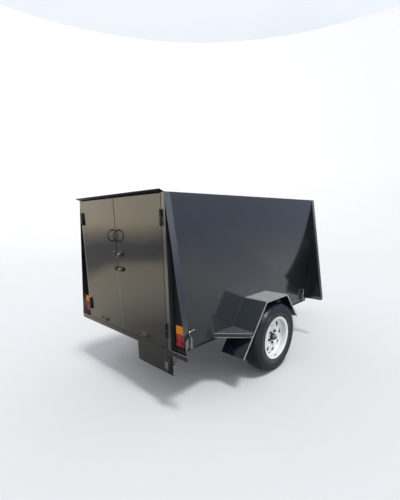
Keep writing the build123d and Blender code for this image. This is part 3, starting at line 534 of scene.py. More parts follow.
def rolled(corners, radius, steps=3):
    """A profile of (along, radius) corners, each rounded to the bend radius."""
    return [(p.x, p.y) for p in bent_path([(a, r, 0) for a, r in corners], radius, steps)]


def mirrored(profile):
    """A profile, and then its mirror image from the far end back."""
    return profile + [(-a, r) for a, r in reversed(profile)]


def add_tube(shape, points, radius, steps=16, closed=False):
    """A round rod along a path, with flat ends."""
    points = [Vector(p) for p in points]
    count = len(points)
    slices = []
    side = None
    for index, point in enumerate(points):
        before = points[index - 1] if closed or index else point
        after = points[(index + 1) % count] if closed or index < count - 1 else point
        run = (after - before).normalized()
        side = side or run.orthogonal().normalized()
        side = (side - run * side.dot(run)).normalized()
        other = run.cross(side)
        angles = [math.tau * step / steps for step in range(steps)]
        slices.append([point + radius * (math.cos(a) * side + math.sin(a) * other) for a in angles])
    if not closed:
        add_slices(shape, slices)
        return
    rings = [[shape.verts.new(spot) for spot in ring] for ring in slices]
    shift = min(range(steps), key=lambda s: (slices[0][s] - slices[-1][0]).length)
    skin(shape, rings + [rings[0][shift:] + rings[0][:shift]])


print("helpers for sheets and tubes ready")

# %% [markdown]
# A shape becomes a piece when it is scaled to metres, shaded and told what it rides on. It rides
# on the body of one CAD node, and it may stand instead of that node. Faces that meet at less than
# 28 degrees are shaded as one smooth surface, and the rest stay crisp.

# %% From a shape to a piece
made_pieces = []


def shade(mesh, angle=28):
    mesh.polygons.foreach_set("use_smooth", [True] * len(mesh.polygons))
    mesh.set_sharp_from_angle(angle=math.radians(angle))


def scaled_mesh(name, shape):
    """The shape in metres, as a mesh."""
    bmesh.ops.scale(shape, vec=(MM, MM, MM), verts=shape.verts)
    mesh = bpy.data.meshes.new(name)
    shape.to_mesh(mesh)
    shape.free()
    return mesh


def show(name, mesh, material, rides, instead=False):
    mesh.name = name
    mesh.materials.clear()
    mesh.materials.append(material)
    thing = bpy.data.objects.new(name, mesh)
    scene.collection.objects.link(thing)
    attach(thing, node_body[rides])
    if instead:
        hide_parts(rides)
    made_pieces.append(thing)
    return thing


def piece(name, shape, material, rides="floor", instead=False, angle=28):
    bmesh.ops.recalc_face_normals(shape, faces=shape.faces)
    if shape.calc_volume(signed=True) < 0:
        bmesh.ops.reverse_faces(shape, faces=shape.faces)
    mesh = scaled_mesh(name, shape)
    shade(mesh, angle)
    return show(name, mesh, material, rides, instead)


print("pieces so far:", len(made_pieces))

# %% [markdown]
# A CAD panel whose shape is right is copied, its loose triangles are merged, and its sharp edges
# are rolled over by about a millimetre, as a brake press and a coat of paint leave them.


# %% Soften a CAD node
def soften(node_name, roll, material, steps=2, merge_flats=True):
    mesh = frame["nodes"][node_name].data.copy()
    shape = bmesh.new()
    shape.from_mesh(mesh)
    bmesh.ops.remove_doubles(shape, verts=shape.verts, dist=1e-5)
    if merge_flats:
        flat = math.radians(0.5)
        bmesh.ops.dissolve_limit(shape, angle_limit=flat, verts=shape.verts, edges=shape.edges)
    bmesh.ops.scale(shape, vec=(1 / MM,) * 3, verts=shape.verts)
    if roll:
        pairs = [edge for edge in shape.edges if len(edge.link_faces) == 2]
        sharp = [edge for edge in pairs if edge.calc_face_angle(0) > math.radians(30)]
        roll_edges(shape, sharp, roll, steps, clamp=True)
    bmesh.ops.scale(shape, vec=(MM,) * 3, verts=shape.verts)
    shape.to_mesh(mesh)
    shape.free()
    shade(mesh, 25)
    return show(node_name + "_rolled", mesh, material, node_name, True)


print("bodies of the nodes known:", len(node_body))

# %% [markdown]
# ## Geometry Nodes for what repeats
# Three small trees do all the repeating work: one sets a part round a ring, one along a path and
# one over a plate. Each has named inputs for its sizes, and ends in Realize Instances and Set
# Material, so that the result is a plain mesh.


# %% Tree helpers
def new_tree(name, sizes):
    """A tree with a part, its sizes, and where, which way and in what finish it is set."""
    tree = bpy.data.node_groups.new(name, "GeometryNodeTree")
    sockets = [("Geometry", "Geometry", None), ("Part", "Object", None), *sizes]
    sockets += [("Place", "Vector", None), ("Turn", "Rotation", None)]
    for label, kind, value in sockets + [("Material", "Material", None)]:
        made = tree.interface.new_socket(label, in_out="INPUT", socket_type="NodeSocket" + kind)
        if value is not None:
            made.default_value = value
    tree.interface.new_socket("Geometry", in_out="OUTPUT", socket_type="NodeSocketGeometry")
    start = node(tree, "NodeGroupInput", {}).outputs
    part = node(tree, "GeometryNodeObjectInfo", {"Object": start["Part"]}).outputs["Geometry"]
    return tree, start, part


def close_tree(tree, start, points, part, rotation, more=None):
    """Sets the part on the points, makes it real, moves it into place and paints it."""
    inputs = {"Points": points, "Instance": part, "Rotation": rotation, **(more or {})}
    put = node(tree, "GeometryNodeInstanceOnPoints", inputs).outputs["Instances"]
    solid = node(tree, "GeometryNodeRealizeInstances", {"Geometry": put}).outputs["Geometry"]
    inputs = {"Geometry": solid, "Translation": start["Place"], "Rotation": start["Turn"]}
    moved = node(tree, "GeometryNodeTransform", inputs).outputs["Geometry"]
    inputs = {"Geometry": moved, "Material": start["Material"]}
    painted = node(tree, "GeometryNodeSetMaterial", inputs).outputs["Geometry"]
    node(tree, "NodeGroupOutput", {"Geometry": painted})


def maths(tree, operation, first, second):
    return node(tree, "ShaderNodeMath", {0: first, 1: second}, operation=operation).outputs["Value"]


print("tree helpers ready")

# %% A ring, a path and a plate
sizes = [("Count", "Int", 8), ("Radius", "Float", 0.1)]
ring_tree, start, part = new_tree("part_round_ring", sizes)
inputs = {"Vertices": start["Count"], "Radius": start["Radius"]}
circle = node(ring_tree, "GeometryNodeMeshCircle", inputs).outputs["Mesh"]
inputs = {"Vector": node(ring_tree, "GeometryNodeInputPosition", {}).outputs["Position"]}
aim = node(ring_tree, "FunctionNodeAlignRotationToVector", inputs, axis="X", pivot_axis="Z")
close_tree(ring_tree, start, circle, part, aim.outputs["Rotation"])

sizes = [("Spacing", "Float", 0.01), ("Jitter", "Float", 0.0), ("Seed", "Int", 3)]
path_tree, start, part = new_tree("part_along_path", sizes)
curve = node(path_tree, "GeometryNodeMeshToCurve", {"Mesh": start["Geometry"]}).outputs["Curve"]
inputs = {"Curve": curve, "Length": start["Spacing"]}
even = node(path_tree, "GeometryNodeResampleCurve", inputs, mode="LENGTH").outputs["Curve"]
inputs = {"Vector": node(path_tree, "GeometryNodeInputTangent", {}).outputs["Tangent"]}
aim = node(path_tree, "FunctionNodeAlignRotationToVector", inputs, axis="X")
least = maths(path_tree, "SUBTRACT", 1.0, start["Jitter"])
chance = node(path_tree, "FunctionNodeRandomValue", {2: least, "Seed": start["Seed"]})
close_tree(path_tree, start, even, part, aim.outputs["Rotation"], {"Scale": chance.outputs[1]})

sizes = [("Across", "Int", 4), ("Along", "Int", 4), ("Pitch", "Float", 0.03)]
plate_tree, start, part = new_tree("part_over_plate", sizes)
index = node(plate_tree, "GeometryNodeInputIndex", {}).outputs["Index"]
row = maths(plate_tree, "FLOOR", maths(plate_tree, "DIVIDE", index, start["Along"]), 0)
column = maths(plate_tree, "MODULO", index, start["Along"])
odd = maths(plate_tree, "MODULO", maths(plate_tree, "ADD", row, column), 2)
lean = maths(plate_tree, "ADD", maths(plate_tree, "MULTIPLY", odd, math.pi / 2), math.pi / 4)
inputs = {}
for direction, label in (("X", "Across"), ("Y", "Along")):
    gaps = maths(plate_tree, "SUBTRACT", start[label], 1)
    inputs["Size " + direction] = maths(plate_tree, "MULTIPLY", gaps, start["Pitch"])
    inputs["Vertices " + direction] = start[label]
grid = node(plate_tree, "GeometryNodeMeshGrid", inputs).outputs["Mesh"]
spin = node(plate_tree, "ShaderNodeCombineXYZ", {"Z": lean}).outputs["Vector"]
close_tree(plate_tree, start, grid, part, spin)
print("trees:", [tree.name for tree in bpy.data.node_groups])


# %% Run a tree and keep a plain mesh
def part_object(name, shape):
    """A small part in millimetres round the origin, for a tree to repeat."""
    bmesh.ops.recalc_face_normals(shape, faces=shape.faces)
    return bpy.data.objects.new(name, scaled_mesh(name, shape))


def grow(name, tree, part, values, material, rides="floor", path=(), angle=28):
    """Runs the tree on one path of millimetre points or on a list of them."""
    points, lines = [], []
    for run in path if path and isinstance(path[0], list) else [path]:
        lines += [(len(points) + i, len(points) + i + 1) for i in range(len(run) - 1)]
        points += [Vector(p) * MM for p in run]
    seedling = bpy.data.meshes.new(name)
    seedling.from_pydata(points, lines, [])
    holder = bpy.data.objects.new(name + "_holder", seedling)
    modifier = holder.modifiers.new("tree", "NODES")
    modifier.node_group = tree
    sockets = {s.name: s.identifier for s in tree.interface.items_tree if s.in_out == "INPUT"}
    for thing in (holder, part):
        scene.collection.objects.link(thing)
    for key, value in {"Part": part, **values, "Material": material}.items():
        modifier[sockets[key]] = value
    holder.update_tag()
    bpy.context.view_layer.update()
    evaluated = holder.evaluated_get(bpy.context.evaluated_depsgraph_get())
    grown = bpy.data.meshes.new_from_object(evaluated)
    bpy.data.objects.remove(holder)
    scene.collection.objects.unlink(part)
    shade(grown, angle)
    return show(name, grown, material, rides)


def grow_ring(name, part, count, centre, turn, material, rides):
    """A part that is drawn at its own radius, set round a centre."""
    values = {"Count": count, "Radius": 1e-5, "Place": tuple(Vector(centre) * MM), "Turn": turn}
    return grow(name, ring_tree, part, values, material, rides)


def grow_plate(name, part, counts, pitch, centre, material):
    values = {"Across": counts[0], "Along": counts[1], "Pitch": pitch * MM}
    values.update({"Place": tuple(Vector(centre) * MM), "Turn": (0, 0, 0)})
    return grow(name, plate_tree, part, values, material)


print("growing helpers ready")
# %% [markdown]
# ## The body panels
# Walls, doors, sills and front fins are folded or cut from sheet. Their CAD shapes are right, so
# each one is softened and painted.

# %% Soften the panels
panel_rolls = {
    "wall_front": 0.8, "roof": 0.8, "door_left": 1.2, "door_right": 1.2, "door_header": 1.0,
    "sill_rear": 1.0, "sill_front": 1.0, "fins_front": 1.2, "plate_panel": 0.8,
}
for node_name, edge_roll in panel_rolls.items():
    soften(node_name, edge_roll, body_paint)
soften("door_posts", 1.0, post_paint)
for side_name, side in sides:
    soften(f"wall_{side_name}", 0.8, wall_paint)
print("panels softened:", len(panel_rolls) + 3)

# %% [markdown]
# ## The rear fins
# A rear fin is a sloped plate with a flange folded rearward along its outer edge. At its foot the
# flange is splayed, so that it stands on the slanting end of the sill. The flange is drawn as
# level slices from foot to top, and skinned between them.

# %% Fold the rear fins
top_z = box_mm("fins_rear")[1].z
outer_foot_x = box_mm("fins_front")[1].x
fin_slope = (outer_foot_x - half_w) / (top_z - sill_high)
sheet, gap = 4, 0.2
near_wall = half_w + gap
splay_rows = ((0, 734, 43), (60, 734, 43), (100, 735, 44), (160, 741, 47))
straight_rows = [(height, None, 50) for height in (230, 420, 700, 1060, 1097)]
plate = [(near_wall, 0.3), (732, 0.3), (732, 60), (733, 100), (738, 160)]
plate += [(outer_foot_x - fin_slope * 230 - 2, 230), (near_wall, top_z - sill_high - 14)]
shape = bmesh.new()
for _, side in sides:
    slices = []
    for height, front_x, depth in (*splay_rows, *straight_rows):
        edge_x = outer_foot_x - fin_slope * height
        front_x = front_x or edge_x
        corners = [
            (edge_x, 0), (front_x, depth),
            (max(front_x - sheet, near_wall), depth), (max(edge_x - sheet, near_wall), 0),
        ]
        slices.append([(side * x, rear_y + y, sill_high + height) for x, y in corners])
    add_slices(shape, slices)
    add_sheet(shape, [(side * x, rear_y + 41, sill_high + z) for x, z in plate], (0, sheet, 0))
fins = piece("fins_rear_folded", shape, body_paint, "fins_rear", True, angle=20)
fins.data.materials.append(shaded_paint)
for face in fins.data.polygons:
    if face.normal.y < -0.9 and face.center.y > (rear_y + 30) * MM:
        face.material_index = 1
print("fin foot at", round(outer_foot_x), "slope", round(fin_slope, 4))

# %% [markdown]
# Thin rolled strips of the pale paint run along the sill's ledge and down the free edge of the left
# door, up to just below the slide bolts. They are painted highlights, where these edges catch the
# light.

# %% Painted edge highlights
shape = bmesh.new()
for _, side in sides:
    near = (side * (half_w + 3), rear_y - 0.1, sill_high - 1.6)
    far = (side * (outer_foot_x - 1.2), rear_y + 1.6, sill_high + 0.35)
    add_block(shape, near, far, 0.5, 1)
piece("ledge_edges", shape, pale_highlight_paint)
door_low, door_high = box_mm("door_left")
highlight_to = 1015
shape = bmesh.new()
near = (door_high.x - 2.0, rear_y - 0.05, door_low.z + 6)
add_block(shape, near, (door_high.x + 0.5, rear_y + 5, highlight_to), 0.7, 2)
piece("door_edge_rubbed", shape, pale_highlight_paint, "door_left")
print("door edge at", round(door_high.x, 1))

# %% [markdown]
# ## Lamps
# Each tail lamp is a black base with an amber lens over a red one. The lens is a clear coloured
# plastic with upright ribs moulded into it, and two screws hold it. The ribs repeat, so a tree
# sets them along a line.

# %% Tail lamp lenses
lens_w, rib_r = 82, 1.7
for colour_name, material in (("amber", lens_amber), ("red", lens_red)):
    lens_node = "lamp_lenses_" + colour_name
    low, high = box_mm(lens_node)
    shape = bmesh.new()
    for _, side in sides:
        near, far = sorted((side * high.x, side * high.x - side * lens_w))
        add_block(shape, (near, low.y + 1.2, low.z), (far, high.y, high.z), 2.4, 3)
        add_block(shape, (near + 5, low.y, low.z + 5), (far - 5, low.y + 2, high.z - 5), 0.9, 2)
    piece(f"lenses_{colour_name}", shape, material, lens_node, True)
    for side_name, side in sides:
        rib = bmesh.new()
        rib_l = high.z - low.z - 12
        profile = [(0, 0), (0, rib_r), (rib_l, rib_r), (rib_l, 0)]
        add_turned(rib, (0, 0, -rib_l / 2), (0, 0, 1), profile, 8)
        ends = (side * (high.x - 8), side * (high.x - lens_w + 8))
        line = [(x, low.y + 0.9, (low.z + high.z) / 2) for x in ends]
        grow(f"lens_ribs_{colour_name}_{side_name}", path_tree, part_object("lens_rib", rib),
             {"Spacing": 0.0045, "Jitter": 0.0}, material, path=line)
print("lenses", round(low.y, 1), "to", round(high.y, 1))

# %% Lamp bases and screws
soften("lamp_bases", 1.0, black_plastic)


def screw_heads(name, spots, radius, material, rides="floor", axis=(0, -1, 0)):
    """Domed heads of screws or rivets."""
    profile = [(-0.5, 0), (-0.5, radius), (0.4, radius * 0.96), (1.2, radius * 0.6), (1.4, 0)]
    shape = bmesh.new()
    for spot in spots:
        add_turned(shape, spot, axis, profile, 14)
    return piece(name, shape, material, rides)


low, high = box_mm("lamp_lenses_amber")
heights = (high.z - 9, box_mm("lamp_lenses_red")[0].z + 9)
spots = [(side * (high.x - lens_w / 2), low.y + 0.4, z) for _, side in sides for z in heights]
screw_heads("lens_screws", spots, 3.4, zinc)
shape = bmesh.new()
base_high = box_mm("lamp_bases")[1]
lead_y = base_high.y + 9
for _, side in sides:
    add_tube(shape, bent_path([
        (side * (high.x - 2), base_high.y + 1, base_high.z - 30),
        (side * (high.x - 20), lead_y, base_high.z - 30),
        (side * (half_w + 12), lead_y, base_high.z - 60),
        (side * (half_w + 5), lead_y, sill_high + 4),
    ], 10), 2.6, 10)
piece("lamp_leads", shape, black_rubber)
print("lamp screws:", len(spots))

# %% [markdown]
# ## Number plate panel
# The panel is left blank. Its lamp is a black housing with a small clear window, three bright
# screws and a cover lip.

# %% Plate lamp
low, high = box_mm("plate_lamp")
centre = middle("plate_lamp")
shape = bmesh.new()
add_block(shape, (low.x, low.y + 7, low.z), (high.x, high.y, high.z), 4, 3)
add_block(shape, (low.x + 4, low.y + 1.5, low.z + 5), (high.x - 4, low.y + 9, high.z - 5), 5, 3)
for z in (low.z + 4, high.z - 4):
    add_block(shape, (low.x + 8, low.y + 5, z - 3), (high.x - 8, low.y + 12, z + 3), 1.5, 2)
piece("plate_lamp_housing", shape, black_plastic, "plate_lamp", True)
shape = bmesh.new()
near = (low.x + 14, low.y + 0.1, low.z + 24)
add_block(shape, near, (high.x - 14, low.y + 4, high.z - 24), 1.8, 3)
piece("plate_lamp_window", shape, lens_clear)
spots = [(x, low.y + 7, high.z - 3) for x in (low.x + 12, high.x - 12)]
spots += [(centre.x, low.y + 2, low.z + 12)]
screw_heads("plate_lamp_screws", spots, 3.4, zinc, axis=(0, -0.9, 0.44))
panel_low, panel_high = box_mm("plate_panel")
heights = (panel_low.z + 12, panel_high.z - 12)
spots = [(x, panel_low.y + 0.4, z) for x in (panel_low.x + 12, centre.x - 60) for z in heights]
screw_heads("panel_rivets", spots, 2.6, body_paint)
print("plate lamp at", [round(c) for c in centre])

# %% [markdown]
# ## Door hardware
# Each door has a round bow to pull it by, bent from rod and welded to two round feet. The hinges
# are barrels with a pin, on narrow leaves that were painted with the body. The CAD has the same
# pieces in plain shapes, and these stand for them.

# %% Pull bows
foot_profile = [(0, 0), (0, 10), (2.2, 10), (3.2, 9), (3.4, 6), (5.5, 4.6), (5.5, 0)]
for side_name, side in sides:
    handle = f"handle_{side_name}"
    low, high = box_mm(handle)
    x, _, mid_z = middle(handle)
    foot_zs = (mid_z - 43, mid_z + 43)
    out_y = low.y + 4.6
    shape = bmesh.new()
    bow = [(high.y - 1, foot_zs[0]), (out_y, foot_zs[0])]
    bow += [(out_y, foot_zs[1]), (high.y - 1, foot_zs[1])]
    add_tube(shape, bent_path([(x, y, z) for y, z in bow], 36, 10), 4.4)
    for z in foot_zs:
        add_turned(shape, (x, high.y, z), (0, -1, 0), foot_profile, 24)
    piece(f"pull_bow_{side_name}", shape, black_steel, handle, True)
    spots = [(x + across, high.y - 3.0, z) for across in (-7.4, 7.4) for z in foot_zs]
    screw_heads(f"bow_rivets_{side_name}", spots, 1.7, zinc, handle)
print("bows stand out", round(high.y - low.y), "mm")

# %% Hinges
hinge_low, hinge_high = box_mm("hinges_right")
barrel_l, barrel_r = 55, 8.4
joint_zs = (hinge_low.z - 0.3, hinge_high.z - barrel_l - 0.3)
axis_x, axis_y = hinge_high.x - 10, hinge_low.y + 10
leaf_y = axis_y + 5


def add_barrel(shape, x, low_z, high_z):
    add_rod(shape, (x, axis_y, low_z), (x, axis_y, high_z), barrel_r, 24, 1.2)


for side_name, side in sides:
    leaves, barrels, pins = bmesh.new(), bmesh.new(), bmesh.new()
    x = side * axis_x
    for z in joint_zs:
        top = z + barrel_l
        add_barrel(barrels, x, z + 0.4, top)
        add_block(leaves, (x - side * 3, leaf_y, z + 1), (x - side * 16, rear_y, top - 1), 1.2)
        profile = [(0, 0), (0, 5), (0.3, 4.4), (0.3, 0)]
        add_turned(pins, (x, axis_y, top - 0.2), (0, 0, 1), profile, 16)
    hinges = f"hinges_{side_name}"
    piece(f"hinge_barrels_{side_name}", barrels, black_steel, hinges, True)
    piece(f"hinge_leaves_{side_name}", leaves, body_paint, hinges)
    piece(f"hinge_pin_heads_{side_name}", pins, zinc, hinges)
leaves, barrels, rings = bmesh.new(), bmesh.new(), bmesh.new()
washer_profile = [(0, 5.8), (0, 7.9), (0.9, 7.9), (0.9, 5.8)]
for _, side in sides:
    x = side * axis_x
    for z in joint_zs:
        foot = z - barrel_l
        add_barrel(barrels, x, foot, z - 0.4)
        add_closed_turn(rings, (x, axis_y, z - 0.9), (0, 0, 1), washer_profile, 20)
        add_block(leaves, (x + side * 3, leaf_y, z - 1), (x + side * 16, rear_y, foot + 1), 1.2)
piece("hinge_barrels_frame", barrels, black_steel, "hinges_frame", True)
piece("hinge_washers", rings, zinc)
piece("hinge_leaves_frame", leaves, body_paint)
print("hinge axis at x", round(axis_x, 1), "joints at", [round(z) for z in joint_zs])

# %% [markdown]
# ## Bolts on the doors
# Two slide bolts shut across the split, and a foot bolt shuts each door down to the sill. The two
# upper ones are black plates with bright rods. The foot bolts were painted over with the body,
# so that only their guides stand out dark.

# %% Slide bolts and keepers
latch_zs = (1150, 1028)
plate_h, guide_w = 40, 13
plate_ls = {"right": 74, "left": 48}
rod_y = rear_y - 11
door_edges = {"right": box_mm("door_right")[0].x, "left": box_mm("door_left")[1].x}


def add_guide(shape, x, z):
    """A strap folded over the rod, with its two feet on the plate."""
    add_block(shape, (x, rear_y - 4, z - 14), (x + guide_w, rear_y - 6.6, z + 14), 0.9)
    half = [(0, 5.4), (0, 7.4), (0.8, 8.4)]
    profile = half + [(guide_w - along, radius) for along, radius in half[::-1]]
    add_closed_turn(shape, (x, rod_y, z), (1, 0, 0), profile, 20)


for side_name, side in sides:
    bolts = f"bolts_{side_name}"
    plates, rods, spots = bmesh.new(), bmesh.new(), []
    near = door_edges[side_name] + side * 6
    far = near + side * plate_ls[side_name]
    for z in latch_zs:
        low_z, high_z = z - plate_h / 2, z + plate_h / 2
        add_block(plates, (near, rear_y, low_z), (far, rear_y - 3.8, high_z), 1.6)
        add_guide(plates, near if side > 0 else near - guide_w, z)
        for x in (min(near, far) + 6, max(near, far) - 6):
            spots += [(x, rear_y - 3.6, z + up) for up in (-15.5, 15.5)]
        if side > 0:
            add_guide(plates, far - guide_w, z)
            add_rod(rods, (near, rod_y, z), (far - 1, rod_y, z), 5, 16, 1)
            knob = [(37, 2, 0), (37, 12, -4), (24, 13.5, -33)]
            knob = [(near + along, rod_y - out, z + up) for along, out, up in knob]
            add_tube(rods, bent_path(knob, 5, 5), 3.4, 12)
    piece(f"bolt_plates_{side_name}", plates, bolt_black, bolts, True)
    if side > 0:
        piece("bolt_rods_right", rods, zinc, bolts)
    screw_heads(f"bolt_rivets_{side_name}", spots, 2.8, zinc, bolts)
print("bolt plates from", round(near, 1), "to", round(far, 1))

# %% Foot bolts
foot_z, strap_w = 535, 22
half = [(0, 4.6), (0, 6), (0.8, 6.8)]
strap_profile = half + [(strap_w - along, radius) for along, radius in half[::-1]]
for side_name, side in sides:
    bolts = f"bolts_{side_name}"
    door_low, door_high = box_mm(f"door_{side_name}")
    free_x, hinged_x = (door_low.x, door_high.x) if side > 0 else (door_high.x, door_low.x)
    near = free_x + (hinged_x - free_x) * 0.43
    plates, guides, spots = bmesh.new(), bmesh.new(), []
    far = near + side * 118
    add_block(plates, (near, rear_y, foot_z - 17), (far, rear_y - 2.6, foot_z + 17), 1.2)
    ends = [(near + side * along, rod_y + 3, foot_z) for along in (2, 112)]
    add_rod(plates, *ends, 4.4, 14, 1)
    knob = [(58, 2, 0), (58, -9, 0), (50, -11, -24)]
    knob = [(near + side * along, rod_y + out, foot_z + up) for along, out, up in knob]
    add_tube(plates, bent_path(knob, 5, 5), 3.2, 10)
    for x in (near + side * 6, near + side * 92):
        x = min(x, x + side * strap_w)
        low, high = (x, rear_y - 2.4, foot_z - 12), (x + strap_w, rear_y - 4.4, foot_z + 12)
        add_block(guides, low, high, 0.8, 1)
        add_closed_turn(guides, (x, rod_y + 3, foot_z), (1, 0, 0), strap_profile, 18)
        spots += [(x + strap_w / 2, rear_y - 4.2, foot_z + up) for up in (-9.5, 9.5)]
    piece(f"foot_bolt_plate_{side_name}", plates, body_paint, bolts)
    piece(f"foot_bolt_guides_{side_name}", guides, black_steel, bolts)
    screw_heads(f"foot_bolt_rivets_{side_name}", spots, 1.8, black_steel, bolts)
print("foot bolts at height", foot_z)

# %% [markdown]
# ## Sprung latches on the side walls
# A corner latch is a plated bracket with two ears, a spring between them and a rod bent over into
# a grip. The rod and the bracket come from the CAD, and the spring's coil follows a rule, so it is
# a tube along a helix.

# %% Latch springs
soften("side_latches", 0.4, zinc, 1)
latch_z = box_mm("side_latches")[0].z
latch_ys = ((rear_y + 188, 1), (front_y - 188, -1))
coil_r, coil_h, coil_turns, coil_steps = 9.2, 58, 7, 14
steps_in_all = coil_turns * coil_steps
springs, heads = bmesh.new(), bmesh.new()
head_profile = [(-0.5, 0), (-0.5, 5.4), (2.6, 5.4), (3.2, 4.6), (3.2, 0)]
for _, side in sides:
    for y, inward in latch_ys:
        helix = []
        for step in range(steps_in_all + 1):
            angle = math.tau * step / coil_steps
            x = side * (half_w + 13) + coil_r * math.cos(angle)
            z = latch_z + 7 + coil_h * step / steps_in_all
            helix.append((x, y + coil_r * math.sin(angle), z))
        add_tube(springs, helix, 1.3, 7)
        for up in (14, 58):
            spot = (side * (half_w + 3), y - inward * 34, latch_z + up)
            add_turned(heads, spot, (side, 0, 0), head_profile, 6)
piece("latch_springs", springs, zinc)
piece("latch_bolts", heads, zinc)
print("latches at", [round(y) for y, _ in latch_ys])

# %% [markdown]
# ## Tyres
# A trailer tyre is a turned body with a ring of tread blocks. The body is one profile turned
# round the axle, with the groove floor, the shoulder, the scuff ribs on the side wall and the
# bead. The tread repeats, so one pitch of eight blocks is made once and a tree sets it round.

# %% Turn the tyre bodies
groove = 8
pitches = 60
tyre_side = [
    (0, groove), (30, groove + 0.3), (62, groove + 2), (74, 16), (79, 22), (80, 25), (82.5, 26),
    (86, 36), (89, 47), (90.3, 54), (92.2, 55), (92.4, 62), (91, 63.5), (90.5, 72), (88, 88),
    (84.5, 101), (84.9, 104), (83.4, 108), (82, 112), (79.5, 118), (79, 123.2),
]
tyre_side = [(across, tyre_r - depth) for across, depth in tyre_side]
tyre_side += [(76.1, 199.6), (73.5, 182), (72, 178.6)]
tyre_profile = [(-across, radius) for across, radius in reversed(tyre_side[1:])] + tyre_side
for side_name, side in sides:
    tyre = "tyre_" + side_name
    shape = bmesh.new()
    add_closed_turn(shape, middle(tyre), (side, 0, 0), tyre_profile, 128)
    piece(f"tyre_body_{side_name}", shape, black_rubber, tyre, True)
print("tyre radius", round(tyre_r, 1))


# %% One pitch of tread
def crown(across):
    """The tread's radius at a place across the tyre."""
    across = abs(across)
    if across < 60:
        return tyre_r - 0.4 - 0.0009 * across * across
    return tyre_r - 3.6 - (across - 60) * 0.62


def tread_block(shape, inner, outer, lean, start_share, end_share):
    """A block between two places across and two shares of the pitch."""
    arc = math.tau * tyre_r / pitches
    low, high = arc * (start_share - 0.5), arc * (end_share - 0.5)
    corners = [(inner, low - lean), (inner, high - lean), (outer, high + lean), (outer, low + lean)]
    rings = []
    for depth in (0, groove + 1.5):
        rings.append([(crown(across) - depth, along, across) for across, along in corners])
    upper = set(add_slices(shape, rings)[0])
    roll_edges(shape, [e for e in edges_of(upper) if upper.issuperset(e.verts)], 0.9)


pitch = bmesh.new()
for row in (
    (-80, -52, 1.5, 0.00, 0.40), (-80, -52, 1.5, 0.47, 0.88), (-46, -21, 2.5, 0.05, 0.93),
    (-14, 14, 3.5, 0.02, 0.46), (-14, 14, 3.5, 0.52, 0.96), (21, 46, 2.5, 0.05, 0.93),
    (52, 80, 1.5, 0.00, 0.40), (52, 80, 1.5, 0.47, 0.88),
):
    tread_block(pitch, *row)
tread_pitch = part_object("tread_pitch", pitch)
print("faces in a pitch:", len(tread_pitch.data.polygons))
for side_name, side in sides:
    tyre = "tyre_" + side_name
    turn = (0, math.pi / 2, 0)
    grow_ring(f"tread_{side_name}", tread_pitch, pitches, middle(tyre), turn, black_rubber, tyre)

# %% [markdown]
# The side wall is scuffed grey just outside the rim, where the tyre was levered on. A very thin
# turned band over the wall carries that finish.

# %% Scuffed band
band = [(79.6, 118), (82.2, 112), (83.7, 108), (85.2, 104), (84.9, 101), (88.3, 88)]
band = [(across, tyre_r - depth) for across, depth in band]
band += [(across - 1.2, radius) for across, radius in reversed(band)]
for side_name, side in sides:
    tyre = "tyre_" + side_name
    shape = bmesh.new()
    add_closed_turn(shape, middle(tyre), (side, 0, 0), band)
    piece(f"scuffed_band_{side_name}", shape, scuffed_rubber, tyre)
print("band reaches to", round(tyre_r - 88), "mm from the axle")

# %% [markdown]
# ## Rims and hubs
# A steel wheel is two pressings: a rolled barrel, which the tyre sits on, and a dished disc welded
# inside it. The barrel is one closed profile turned round the axle. The faces behind the disc get a
# near-black finish, partly brake dust and partly painted shade, and the barrel's other inner faces
# get a greyer copy of the enamel, as painted shade.

# %% Barrels
hub_face_x = box_mm("hub_right")[1].x - 54
disc_at = hub_face_x - wheel_mid
outside = [(81, 198.6), (76.5, 178), (35, 178), (26, 158)]
outside = rolled(mirrored(outside), 5)
near_inside = rolled([(-83.6, 198.6), (-80, 174), (-35, 174), (-26, 154)], 5)
far_inside = rolled([(22, 154), (26, 154), (35, 174), (80, 174), (83.6, 198.6)], 5)
barrel = outside + [(-82, 199)] + near_inside[:-1] + [(-26, 154), (22, 154)]
barrel += far_inside[1:] + [(82, 199)]
for side_name, side in sides:
    rim_node = f"rim_{side_name}"
    centre = middle("tyre_" + side_name)
    shape = bmesh.new()
    add_closed_turn(shape, centre, (side, 0, 0), barrel)
    rim_piece = piece(f"rim_barrel_{side_name}", shape, rim_white, rim_node, True)
    rim_piece.data.materials.append(brake_dust_and_shade)
    rim_piece.data.materials.append(rim_barrel)
    # Inward faces behind the disc get the near-black dust and painted shade; the barrel's other
    # inward faces get the greyer enamel, as painted shade.
    for face in rim_piece.data.polygons:
        x, y, z = face.center / MM
        inward = face.normal.y * (y - axle_y) + face.normal.z * (z - axle_z) < 0
        if inward and side * x < hub_face_x - 1:
            face.material_index = 1
        elif inward and abs(face.normal.x) < 0.5:
            face.material_index = 2
    shape = bmesh.new()
    for along_axis, radius, wire_r in ((58, 172.9, 1.6), (41, 173.1, 1.4), (79.5, 190, 1.6)):
        angles = [math.tau * i / 10 for i in range(10)]
        ring = [(along_axis + wire_r * math.cos(a), radius + wire_r * math.sin(a)) for a in angles]
        add_closed_turn(shape, centre, (side, 0, 0), ring)
    piece(f"rim_rings_{side_name}", shape, rim_white, rim_node)
print("hub face at", round(hub_face_x, 1))

# %% [markdown]
# The disc is dished out to a crown and slopes back to the barrel. Eight triangular vents are
# punched through the slope. The punch is a set of eight rounded prisms, and a Boolean takes them
# out of the turned disc, which is what a press tool does in one stroke.

# %% Discs and their vents
front = [(5, 34.4), (5, 73), (17, 84), (0, 154.6)]
rear = [(-5, 154.6), (12, 84), (0, 74), (0, 34.4)]
dish = []
for corners, radius in ((front, 9), (rear, 7)):
    dish += rolled([(disc_at + along, r) for along, r in corners], radius, 5)
vent_corners = [(95, 0), (149, 27), (149, -27)]
vents, vent_start = 8, 8


